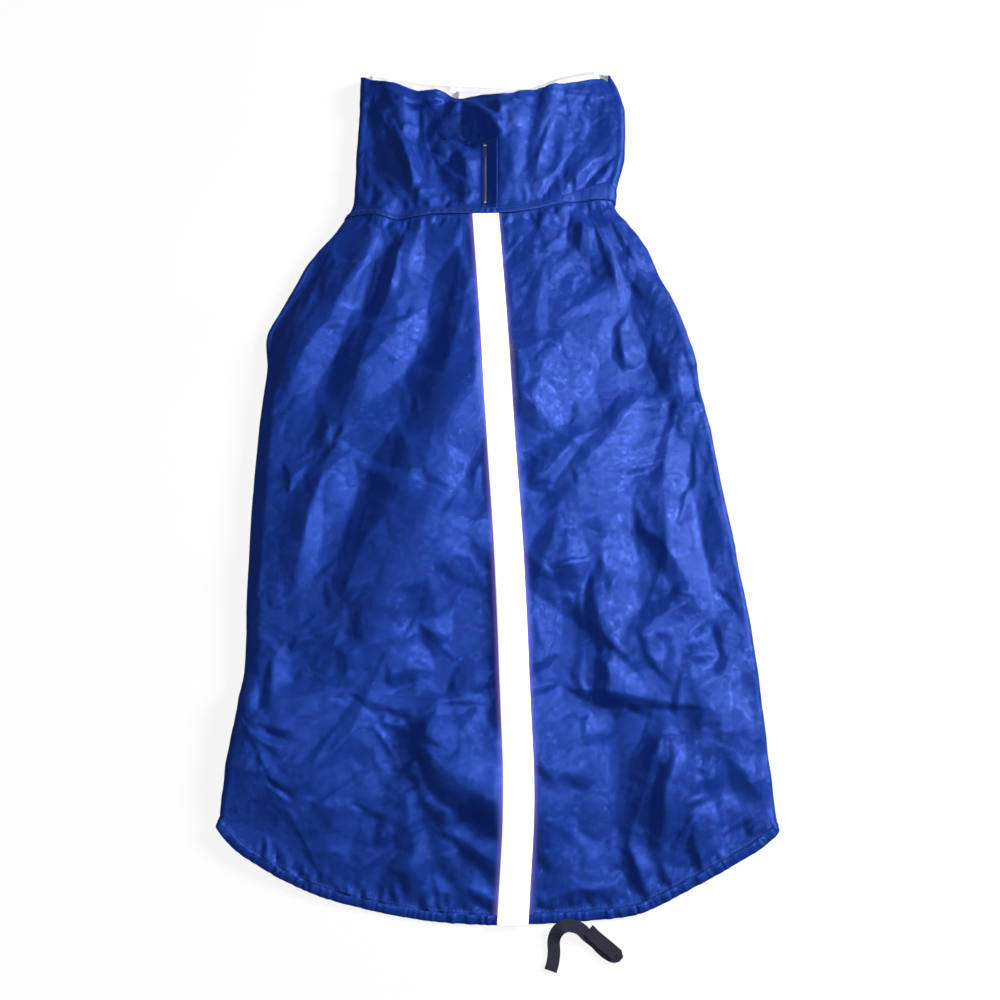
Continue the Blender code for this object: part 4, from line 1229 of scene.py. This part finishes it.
# Columns run round the collar like s, but are set close at the welt's edges and the slit's sides.
WELT_COLUMNS, SLIT_COLUMN = (-0.2, 0.5), 0.04
COLLAR_FACETS = [
    Facet(9, 0.62, [(-91, 333), (-80, 312), (-68, 284), (-64, 263), (-49, 241)]),
    Facet(8, -0.50, [(-99, 332), (-88, 308), (-77, 284), (-72, 262), (-58, 241)]),
    Facet(7, -0.62, [(-64, 341), (-64, 304), (-59, 284), (-59, 260)]),
    Facet(7, 0.62, [(-60, 300), (-39, 280), (-27, 263), (-20, 253)]),
    Facet(6, -0.62, [(-54, 320), (-39, 301), (-27, 275), (-18, 253)]),
    Facet(5, 0.45, [(-40, 310), (-19, 299), (-10, 292)]),
    Facet(20, -0.75, [(-31, 341), (-22, 318), (-6, 298)]),
    Facet(5, 0.75, [(-23, 341), (-2, 319), (8, 306)]),
    Facet(4, -0.62, [(-5, 341), (3, 317)]),
    Facet(4, -0.55, [(4, 340), (8, 318)]),
    Facet(6, -0.20, [(8, 302), (6, 252)]),
    Facet(8, 0.30, [(18, 303), (16, 248)]),
    Facet(4, -0.25, [(26, 298), (22, 252)]),
    Facet(3.5, -0.75, [(45, 332), (38, 316), (30, 293), (26, 267)]),
    Facet(13, -0.24, [(49, 328), (44, 300), (42, 273)]),
    Facet(4, 0.55, [(57, 295), (41, 266), (27, 246)]),
    Facet(4, 0.52, [(59, 274), (52, 245)]),
    Facet(5, 0.55, [(88, 295), (71, 278), (60, 262)]),
    Facet(6, -0.55, [(93, 290), (78, 272), (65, 256)]),
    Facet(14, -0.28, [(66, 341), (92, 310)]),
    Facet(3.5, -0.55, [(-101, 334), (-86, 337), (-70, 342)]),
    Facet(3, -0.45, [(-95, 273), (-81, 257)]),
    Facet(3, -0.45, [(-89, 259), (-72, 244)]),
    Facet(3, 0.62, [(-99, 237), (-90, 243), (-83, 237)]),
    Facet(9, -0.38, [(-111, 237), (-68, 231)]),
    Facet(5, 0.40, [(-104, 300), (-100, 262)]),
    Facet(6, -0.35, [(-107, 285), (-104, 250)]),
    Facet(4, 0.45, [(72, 330), (66, 300)]),
    Facet(4, -0.40, [(80, 262), (94, 276)]),
    Facet(9, 0.30, [(-27, 293), (-21, 269), (-16, 243)], 0.1),
    Facet(7, -0.55, [(-40, 293), (-30, 269), (-24, 249)], 0.1),
    Facet(6, 0.42, [(6, 344), (2, 321), (2, 298)], 0.1),
    Facet(14, -0.30, [(-55, 329), (-48, 293), (-33, 257)], 0.1),
    Facet(10, 0.32, [(-77, 321), (-68, 286), (-57, 251)], 0.1),
    Facet(9, -0.45, [(-85, 323), (-78, 293), (-69, 261)], 0.1),
    Facet(26, -0.26, [(-90, 352), (-91, 244)], 0.1),
    Facet(40, 0.08, [(42, 352), (36, 250)], 0.1),
    Facet(20, -0.26, [(91, 345), (84, 260)], 0.1),
    Facet(16, -0.50, [(-43, 344), (-42, 323), (-40, 303)], 0.1),
    Facet(20, -0.34, [(-61, 342), (-58, 303), (-43, 261)], 0.1),
    Facet(9, -0.35, [(-104, 345), (-96, 293), (-83, 257)], 0.1),
]
collar_creases = crumple(31, 110, (-130, 120), (200, 325), (12, 40), (2.4, 6.0), 0.34, (50.0, 130.0))
collar_creases += crumple(32, 260, (-130, 120), (200, 325), (6, 18), (1.6, 3.0), 0.26, (30.0, 150.0))


def collar_gathers(count, x_range):
    """Short folds that rise from the neck seam."""
    made = []
    for x in np.sort(gathers.uniform(*x_range, count)):
        foot, tall = float(neck_y(x)) + 4, gathers.uniform(10, 34)
        half_way = (x + gathers.normal(0, 2), foot + tall / 2)
        path = [(x, foot), half_way, (x + gathers.normal(0, 4), foot + tall)]
        width = gathers.uniform(2.5, 5.0)
        made.append(Facet(width, gathers.uniform(0.25, 0.6) * gathers.choice([-1, 1]), path))
    return made


collar_creases += collar_gathers(40, (-106, 88))


def band_height(x):
    widening = smoothstep((x - BAND_WIDENS_X) / (BAND_FULL_X - BAND_WIDENS_X))
    return BAND_LEFT + (BAND_RIGHT - BAND_LEFT) * widening


def collar_stops(y):
    """x of the collar's marked columns at this y: the folds, and both sides of the welt and the slit."""
    here = station(y)
    left, right = here.left + here.edge / 2, here.right - here.edge / 2
    return [
        (-1.0, left),
        (WELT_COLUMNS[0], SLIT_X - WELT_LEFT),
        (-SLIT_COLUMN, SLIT_X - SLIT_WIDTH / 2),
        (SLIT_COLUMN, SLIT_X + SLIT_WIDTH / 2),
        (WELT_COLUMNS[1], SLIT_X + WELT_RIGHT),
        (1.0, right),
    ]


def collar_back_x(column, y):
    stops = collar_stops(y)
    x = stops[0][1] + 0 * column
    for (a, x0), (b, x1) in zip(stops, stops[1:]):
        x = np.where(column > a, x0 + (x1 - x0) * np.clip((column - a) / (b - a), 0, 1), x)
    return x


def collar_seat(column, row):
    """The collar's s and y at each column and row; past -2 and 2 the columns reach the free edge at 3."""
    side = np.sign(column)
    turn = np.clip(np.abs(column) - 1, 0, 1)
    flat = np.clip(column, -1, 1)
    beyond = np.maximum(np.abs(column) - 2, 0)
    free_edge_x = np.where(side > 0, RIGHT_END_X, LEFT_END_X)

    def seat_x(y):
        here = station(y)
        fold_x = np.where(side > 0, here.right - here.edge / 2, here.left + here.edge / 2)
        top_x = collar_back_x(flat, y)
        return np.where(np.abs(column) > 2, fold_x + (free_edge_x - fold_x) * beyond, top_x)

    def height(y):
        x = seat_x(y)
        on_back = 1 - turn
        foot = neck_y(x) + band_height(x) * on_back + GAP
        left_top = smooth_value(COLLAR_LEFT_FRONT_EDGE, x)
        front_top = np.where(side > 0, smooth_value(COLLAR_RIGHT_FRONT_EDGE, x), left_top)
        top = smooth_value(COLLAR_BACK_EDGE, x) * on_back + front_top * turn
        return foot + (top - foot) * row

    y = settled(height, 250.0 + 0 * column * row)
    x = seat_x(y)
    here = station(y)
    past = np.where(side > 0, here.right - here.edge / 2 - x, x - here.left - here.edge / 2) / UNDER_UNIT
    s = np.where(np.abs(column) > 2, side * (2 + past), np.where(turn > 0, column, s_of(x, y)))
    return s, y, front_lift(x, (side > 0) & (np.abs(column) > 2))


collar_column = np.concatenate(
    [
        np.linspace(-3, -2, 65)[:-1],
        np.linspace(-2, -1, 13)[:-1],
        np.linspace(-1, WELT_COLUMNS[0], 73)[:-1],
        np.linspace(WELT_COLUMNS[0], -SLIT_COLUMN, 4)[:-1],
        [-SLIT_COLUMN, SLIT_COLUMN],
        np.linspace(SLIT_COLUMN, WELT_COLUMNS[1], 8)[1:],
        np.linspace(WELT_COLUMNS[1], 1, 61)[1:],
        np.linspace(1, 2, 13)[1:],
        np.linspace(2, 3, 73)[1:],
    ]
)[None, :]
slit_run = np.linspace(SLIT_ROWS[0], SLIT_ROWS[1], 43)
above_row = np.linspace(SLIT_ROWS[1], 1, 39)[1:]
collar_row = np.concatenate([np.linspace(0, SLIT_ROWS[0], 8)[:-1], slit_run, above_row])[:, None]

# The left half sinks away from a ridge beside the slit, and the right half leans a little away.
COLLAR_RIDGE_X, COLLAR_DIP_X, COLLAR_FOLD_X = 1.5, -43.0, -105.0
COLLAR_DIP, RIGHT_LEAN, RIGHT_LEAN_RUN = 9.0, 2.0, 60.0
SLIT_DIP, SLIT_TOP_Y = 3.6, 248.0
LEVEL_Y, LEVEL_RUN, LEVEL_SHARE = 268.0, 18.0, 0.8  # the dip levels out towards the top edge
NET_SHARE, UNDER_SHARE = 0.6, 0.25  # the back's and the underside's creases are shallower here
ROLL_HIGH, ROLL_ROW, ROLL_RUN = 0.5, 0.97, 0.03  # the turned free edge stands up a little
WELT_STIFF, FOOT_FLAT = 0.3, 0.1  # share of a crease that is left at the welt and at the neck seam


def collar_relief(x, y):
    """Height of the collar's creases and dips at each place."""
    relief = facet_relief(COLLAR_FACETS, x, y) + facet_relief(collar_creases, x, y, False)
    relief += sum(crushed_relief(net, x, y) for net in back_nets) * NET_SHARE
    by_slit = np.clip(smoothstep((np.abs(x - SLIT_X - 2.5) - 5) / 8) + (y > SLIT_TOP_Y), 0, 1)
    above_slit = np.clip((y - SLIT_TOP_Y) / 1.6, 0, 1)
    dip = np.interp(x, (COLLAR_FOLD_X, COLLAR_DIP_X, COLLAR_RIDGE_X), (0, 1, 0))
    slit_dip = np.interp(x, (SLIT_X - 15, SLIT_X, SLIT_X + WELT_RIGHT), (0, 1, 0)) * (1 - above_slit)
    right_lean = RIGHT_LEAN * np.clip((x - COLLAR_RIDGE_X) / RIGHT_LEAN_RUN, 0, 1)
    left_of_dip = np.clip((COLLAR_DIP_X - x) / 12 + 0.5, 0, 1)
    level_top = 1 - LEVEL_SHARE * smoothstep((y - LEVEL_Y) / LEVEL_RUN) * left_of_dip
    leaning = COLLAR_DIP * dip * (0.5 + 0.5 * above_slit) * level_top + SLIT_DIP * slit_dip + right_lean
    at_seam = smoothstep((y - neck_y(x) - 2) / 8)
    stiffened = WELT_STIFF + (1 - WELT_STIFF) * by_slit
    return (relief * stiffened - leaning) * (FOOT_FLAT + (1 - FOOT_FLAT) * at_seam)


def collar_grid(column, row):
    s, y, lift = collar_seat(column, row)
    x = girth_x(s, y)
    below = np.abs(s) > 2
    relief = np.where(below, -under_relief(x, y) * UNDER_SHARE, collar_relief(x, y) * side_fade(s))
    rolled = ROLL_HIGH * smoothstep((row - ROLL_ROW) / ROLL_RUN) * ~below
    points = ring(s, y, relief + rolled)[0]
    points[..., 2] += lift
    return points, np.stack([x, y], axis=-1)


collar_points, collar_uv = collar_grid(collar_column, collar_row)


def slit_in(column, row):
    """The cells of a grid that the leash slit leaves open."""
    along_slit = (row[:-1] >= SLIT_ROWS[0] - 1e-6) & (row[1:] <= SLIT_ROWS[1] + 1e-6)
    return (np.abs(column[:, :-1] + SLIT_COLUMN) < 1e-6) & along_slit


collar = panel(
    "collar_cloth",
    collar_points,
    collar_uv,
    WALL,
    [nylon, lining_white],
    "collar",
    leave_out=slit_in(collar_column, collar_row),
)

WELT_FOOT, WELT_LIFT, WELT_PUFF = 0.004, 0.10, 0.35
welt_column = np.concatenate(
    [np.linspace(WELT_COLUMNS[0], -SLIT_COLUMN, 5), np.linspace(SLIT_COLUMN, WELT_COLUMNS[1], 11)]
)[None, :]
below_slit = np.linspace(WELT_FOOT, SLIT_ROWS[0], 8)[:-1]
welt_row = np.concatenate([below_slit, slit_run, [0.585, 0.60, WELT_TOP]])[:, None]
welt_points, welt_uv = collar_grid(welt_column, welt_row)
welt_side = np.minimum(welt_column - WELT_COLUMNS[0], WELT_COLUMNS[1] - welt_column)
welt_edge = np.minimum(welt_side / 0.05, (WELT_TOP - welt_row) / 0.02)
welt_points[..., 2] += WELT_LIFT + WELT_PUFF * np.clip(welt_edge, 0, 1)
welt = panel(
    "slit_welt",
    welt_points,
    welt_uv,
    WELT_WALL,
    [nylon],
    "leash_slit_welt",
    leave_out=slit_in(welt_column, welt_row),
)
declare_cloth(welt_uv)


# Collar lining. Plain white cloth inside both fronts, which shows over the collar's lower back edge.
# It is cut like the fronts and sewn to them along the neck seam and just under their free edge.
LINING_WALL, COLLAR_LEFT_X, LINING_END, LINING_TOP_ROW = 1.0, -111.0, 2.99, 0.988
LINING_CLEAR = 0.3
lining_reach = 1 - (RIGHT_END_X - LEFT_END_X) / (COLLAR_LEFT_X - LEFT_END_X)
lining_row = np.linspace(0, LINING_TOP_ROW, 49)[:, None]
for name, columns in (
    ("left", np.linspace(-2 - lining_reach, -2.001, 41)),
    ("right", np.linspace(2.001, LINING_END, 61)),
):
    grid, grid_uv = collar_grid(columns[None, :], lining_row)
    crease = np.clip(facet_relief(collar_creases, grid[..., 0], grid[..., 1], False), -0.1, 0.7)
    grid[..., 2] += WALL + GAP + LINING_WALL + LINING_CLEAR + crease
    piece = panel(
        name + "_lining_cloth",
        grid,
        grid_uv,
        LINING_WALL,
        [lining_white],
        name + "_collar_lining",
        facing_up=False,
    )
    declare_cloth(grid_uv)


# Neck band. A folded strip of the nylon that covers the neck seam, topstitched along both edges and a
# little wider at the right. It tapers into the side folds.
BAND_RAISE, BAND_LAP, BAND_WALL, BAND_END = 0.75, 0.8, 0.5, 1.8
PUCKER, PUCKER_PITCH, BAND_PUFF = 0.30, 5.3, 0.55
neck_column = np.linspace(-BAND_END, BAND_END, 301)[None, :]
neck_row = np.array([0, 0.12, 0.3, 0.5, 0.7, 0.88, 1])[:, None]
neck_turn, neck_flat = np.maximum(np.abs(neck_column) - 1, 0), np.clip(neck_column, -1, 1)
neck_x = settled(lambda x: collar_back_x(neck_flat, neck_y(x)), neck_flat * 100.0)
neck_band_y = neck_y(neck_x) - BAND_LAP + (band_height(neck_x) + 2 * BAND_LAP) * (1 - neck_turn) * neck_row
neck_s = np.where(neck_turn > 0, neck_column, s_of(neck_x, neck_band_y))
pucker_shift = 2 * np.sin(neck_x / 13)
pucker = PUCKER * np.sin(neck_x * math.tau / PUCKER_PITCH + pucker_shift) * np.sin(neck_row * math.pi)
puff = BAND_PUFF * np.sin(neck_row * math.pi) ** 0.5
neck_points = ring(neck_s, neck_band_y, BAND_RAISE + pucker + puff)[0]
neck_uv = np.stack([girth_x(neck_s, neck_band_y), neck_band_y], axis=-1)
neck_band = panel("neck_band_cloth", neck_points, neck_uv, BAND_WALL, [nylon], "neck_band")
declare_cloth(collar_uv)


# Hem. The nylon is turned up 6 mm round a flat elastic and stitched down, which leaves a slim edge full
# of small gathers. It runs right round the tail and on under the flanks.
HEM_SIDES = 20
HEM_IN, HEM_OUT = -0.45, 6.0  # across the cloth, from the panel's edge
HEM_SWELL, HEM_DEPTH, HEM_FALL = 0.10, 2.7, 1.1
TUCK_OUT, TUCK_UP = 0.25, 0.95
hem_chance = np.random.default_rng(17)


def hem_tube(name, edge, ways, swell, node):
    """A flat tube outside an edge. swell is how far it stands out of the cloth's outer side."""
    tangents = unit(np.gradient(edge, axis=0))
    across = unit(np.cross(tangents, ways))
    up = unit(np.cross(across, tangents))
    run = np.concatenate([[0], np.cumsum(np.linalg.norm(np.diff(edge, axis=0), axis=1))])
    knots = np.cumsum(hem_chance.uniform(1.1, 3.0, int(run[-1]) + 8))
    knot_heights = hem_chance.uniform(-1, 1, len(knots)) * hem_chance.choice([0.5, 1.0], len(knots))
    tucks = np.interp(run, knots, knot_heights)
    angle = np.linspace(0, math.tau, HEM_SIDES, endpoint=False)
    reach_a = np.sign(np.cos(angle)) * np.abs(np.cos(angle)) ** 0.7
    reach_b = np.sign(np.sin(angle)) * np.abs(np.sin(angle)) ** 0.8
    a = (HEM_IN + HEM_OUT) / 2 + (HEM_OUT - HEM_IN) / 2 * reach_a[None, :]
    a = a + TUCK_OUT * tucks[:, None] * (reach_a > 0.5)
    outer_fall = HEM_FALL * smoothstep((a - 0.5) / 5.5) * (reach_b > 0)
    b = swell[:, None] + HEM_DEPTH / 2 * (reach_b - 1)[None, :] - outer_fall * (swell > 0.05)[:, None]
    b = b + TUCK_UP * tucks[:, None] * (reach_b > 0.1) * smoothstep((a + 0.4) / 1.5)
    points = edge[:, None] + across[:, None] * a[..., None] + up[:, None] * b[..., None]
    points[..., 2] = np.maximum(points[..., 2], 0.0)
    _, faces = swept(edge, across, up, np.zeros((HEM_SIDES, 2)))
    uv = np.stack([run[:, None] + 0 * a, a + b], axis=-1)
    tube = add_piece(name, points[:, ::-1], faces, [nylon], uv[:, ::-1])
    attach(tube, "root")
    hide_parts(node)
    return tube


hem_s = np.concatenate(
    [np.linspace(-SEAM_S, -1, 60)[:-1], np.linspace(-1, 1, 560), np.linspace(1, SEAM_S, 60)[1:]]
)
hem_edge, hem_ways = ring(hem_s, back_rows(hem_s, 1.0))
hem_swell = HEM_SWELL * smoothstep((1.0 - np.abs(hem_s)) / 0.06)
back_hem = hem_tube("hem_cloth", hem_edge, hem_ways.astype(float), hem_swell, "hem_casing")
declare_cloth(np.stack([back_girth, back_y], axis=-1))
for name, side, flank, grid in flanks:
    edge = grid[-1] if side > 0 else grid[-1, ::-1]
    edge = np.column_stack([edge[:, 0], edge[:, 1], 0 * edge[:, 0]])
    down = np.tile((0.0, 0.0, -1.0), (len(edge), 1))
    tube = hem_tube(name + "_hem_cloth", edge, down, 0 * edge[:, 0], name + "_hem_casing")
    declare_cloth(grid)


# Stitches. Lockstitch at 2.5 mm: white thread down the tape, dark blue thread elsewhere. They run along
# the hem, both edges of the neck band, the slit's welt with a bar tack at each end, and the side seams.
STITCH_LENGTH, THREAD_WIDE = 1.7, 0.42
# How far the stitches stand out of the cloth, and where a bar tack's rows lie.
THREAD_RAISE, BAND_THREAD_RAISE, WELT_THREAD_RAISE, TACK_RAISE = 0.12, 0.10, 0.08, 0.7
TACK_ROWS = (-0.4, 0.0, 0.4)


def stitch_tree():
    """Geometry nodes that set one stitch after another along the edges of a line mesh."""
    tree = bpy.data.node_groups.new("stitching", "GeometryNodeTree")
    tree.interface.new_socket("Line", in_out="INPUT", socket_type="NodeSocketGeometry")
    for name, kind in (("Pitch", "Float"), ("Length", "Float"), ("Thread", "Float"), ("Seed", "Int")):
        tree.interface.new_socket(name, in_out="INPUT", socket_type="NodeSocket" + kind)
    tree.interface.new_socket("Finish", in_out="INPUT", socket_type="NodeSocketMaterial")
    tree.interface.new_socket("Stitches", in_out="OUTPUT", socket_type="NodeSocketGeometry")

    def add(kind, **values):
        made = tree.nodes.new(kind)
        for key, value in values.items():
            socket = made.inputs[key.replace("_", " ")]
            if isinstance(value, bpy.types.NodeSocket):
                tree.links.new(value, socket)
            else:
                socket.default_value = value
        return made

    given = add("NodeGroupInput").outputs
    curve = add("GeometryNodeMeshToCurve", Mesh=given["Line"])
    places = tree.nodes.new("GeometryNodeCurveToPoints")
    places.mode = "LENGTH"
    tree.links.new(curve.outputs["Curve"], places.inputs["Curve"])
    tree.links.new(given["Pitch"], places.inputs["Length"])
    size = tree.nodes.new("ShaderNodeCombineXYZ")
    tree.links.new(given["Thread"], size.inputs["X"])
    tree.links.new(given["Thread"], size.inputs["Y"])
    tree.links.new(given["Length"], size.inputs["Z"])
    bead = add("GeometryNodeMeshUVSphere", Segments=6, Rings=4, Radius=0.5)
    uneven = tree.nodes.new("FunctionNodeRandomValue")
    uneven.data_type = "FLOAT_VECTOR"
    uneven.inputs["Min"].default_value = (0.85, 0.85, 0.85)
    uneven.inputs["Max"].default_value = (1.15, 1.15, 1.10)
    tree.links.new(given["Seed"], uneven.inputs["Seed"])
    scale = tree.nodes.new("ShaderNodeVectorMath")
    scale.operation = "MULTIPLY"
    tree.links.new(size.outputs["Vector"], scale.inputs[0])
    tree.links.new(uneven.outputs["Value"], scale.inputs[1])
    placed = add(
        "GeometryNodeInstanceOnPoints",
        Points=places.outputs["Points"],
        Instance=bead.outputs["Mesh"],
        Rotation=places.outputs["Rotation"],
        Scale=scale.outputs["Vector"],
    )
    real = add("GeometryNodeRealizeInstances", Geometry=placed.outputs["Instances"])
    smooth = add("GeometryNodeSetShadeSmooth", Geometry=real.outputs["Geometry"])
    coated = add("GeometryNodeSetMaterial", Geometry=smooth.outputs["Geometry"], Material=given["Finish"])
    result = add("NodeGroupOutput", Stitches=coated.outputs["Geometry"])
    result.is_active_output = True
    return tree


stitching = stitch_tree()


def thread_finish(name, low, high):
    finish = Finish(name, {"Specular IOR Level": 0.5, "Sheen Weight": 0.3})
    twist = (finish.noise(0.5, 2.0) + finish.noise(3.0)) * 0.5
    finish.feed("Base Color", finish.mix(twist, low, high))
    finish.feed("Roughness", twist * 0.2 + 0.45)
    finish.feed("Normal", finish.bump(twist, 0.1))
    return finish


white_thread = thread_finish("white_thread", (0.62, 0.62, 0.64), (0.80, 0.80, 0.82))
blue_thread = thread_finish("blue_thread", (0.010, 0.030, 0.16), (0.022, 0.055, 0.28))


def sew(name, lines, finish, seed, pitch=STITCH_PITCH, long=STITCH_LENGTH):
    """Stitches along several lines of points, as one plain mesh."""
    points, edges = [], []
    for line in lines:
        line = np.asarray(line, float)
        edges += [(len(points) + k, len(points) + k + 1) for k in range(len(line) - 1)]
        points += (line * MM).tolist()
    mesh = bpy.data.meshes.new(name + "_line")
    mesh.from_pydata(points, edges, [])
    path = bpy.data.objects.new(name + "_line", mesh)
    bpy.context.scene.collection.objects.link(path)
    sewing = path.modifiers.new("sewing", "NODES")
    sewing.node_group = stitching
    given = {
        "Pitch": pitch * MM,
        "Length": long * MM,
        "Thread": THREAD_WIDE * MM,
        "Seed": seed,
        "Finish": finish.material,
    }
    for socket in stitching.interface.items_tree:
        if socket.in_out == "INPUT" and socket.name in given:
            sewing[socket.identifier] = given[socket.name]
    graph = bpy.context.evaluated_depsgraph_get()
    stitches = bpy.data.objects.new(name, bpy.data.meshes.new_from_object(path.evaluated_get(graph)))
    bpy.data.objects.remove(path)
    bpy.context.scene.collection.objects.link(stitches)
    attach(stitches, "root")
    return stitches


tape_lines = [tape_points[:-6, k] + (0, 0, THREAD_RAISE) for k in (1, -2)]
sew("tape_stitches", tape_lines, white_thread, 1)

hem_sewn = ring(back_s, back_y[-1] + 1.6 * (np.abs(back_s) <= 1), back_height[-2])[0]
hem_sewn[:, 2] += THREAD_RAISE
sew("hem_stitches", [hem_sewn[np.abs(back_s) <= 1]], blue_thread, 2)

band_lines = []
for row in (1, 5):
    line = neck_points[row].copy()
    line[:, 2] += BAND_THREAD_RAISE
    band_lines.append(line[np.abs(neck_column[0]) < 1.3])
sew("neck_band_stitches", band_lines, blue_thread, 3)

welt_line = np.concatenate([welt_points[1:-1, 3], welt_points[-2, 4:-2]])
foot_columns = np.linspace(WELT_COLUMNS[1], 0.66, 24)[None, :]
foot_line = collar_grid(foot_columns, np.array([[SLIT_ROWS[0] + 0.01]]))[0][0] + (0, 0, THREAD_RAISE)
welt_line = welt_line + (0, 0, WELT_THREAD_RAISE)
sew("welt_stitches", [welt_line, foot_line], blue_thread, 4, 2.0, 1.4)
tack_lines = []
for row, half in ((SLIT_ROWS[0], 0.8), (SLIT_ROWS[1], 1.3)):
    middle = collar_grid(np.array([[0.0]]), np.array([[row]]))[0][0, 0] + (0, 0, TACK_RAISE)
    tack_lines += [middle + np.array([[-half, dy, 0], [half, dy, 0]]) for dy in TACK_ROWS]
sew("bar_tacks", tack_lines, white_thread, 5, 0.8, 1.1)

seam_lines = []
for name, side, flank, grid in flanks:
    seam_lines.append(grid[2:-2, 1] * (1, 1, 0) + (0, 0, THREAD_RAISE))
sew("side_seam_stitches", seam_lines, blue_thread, 6)
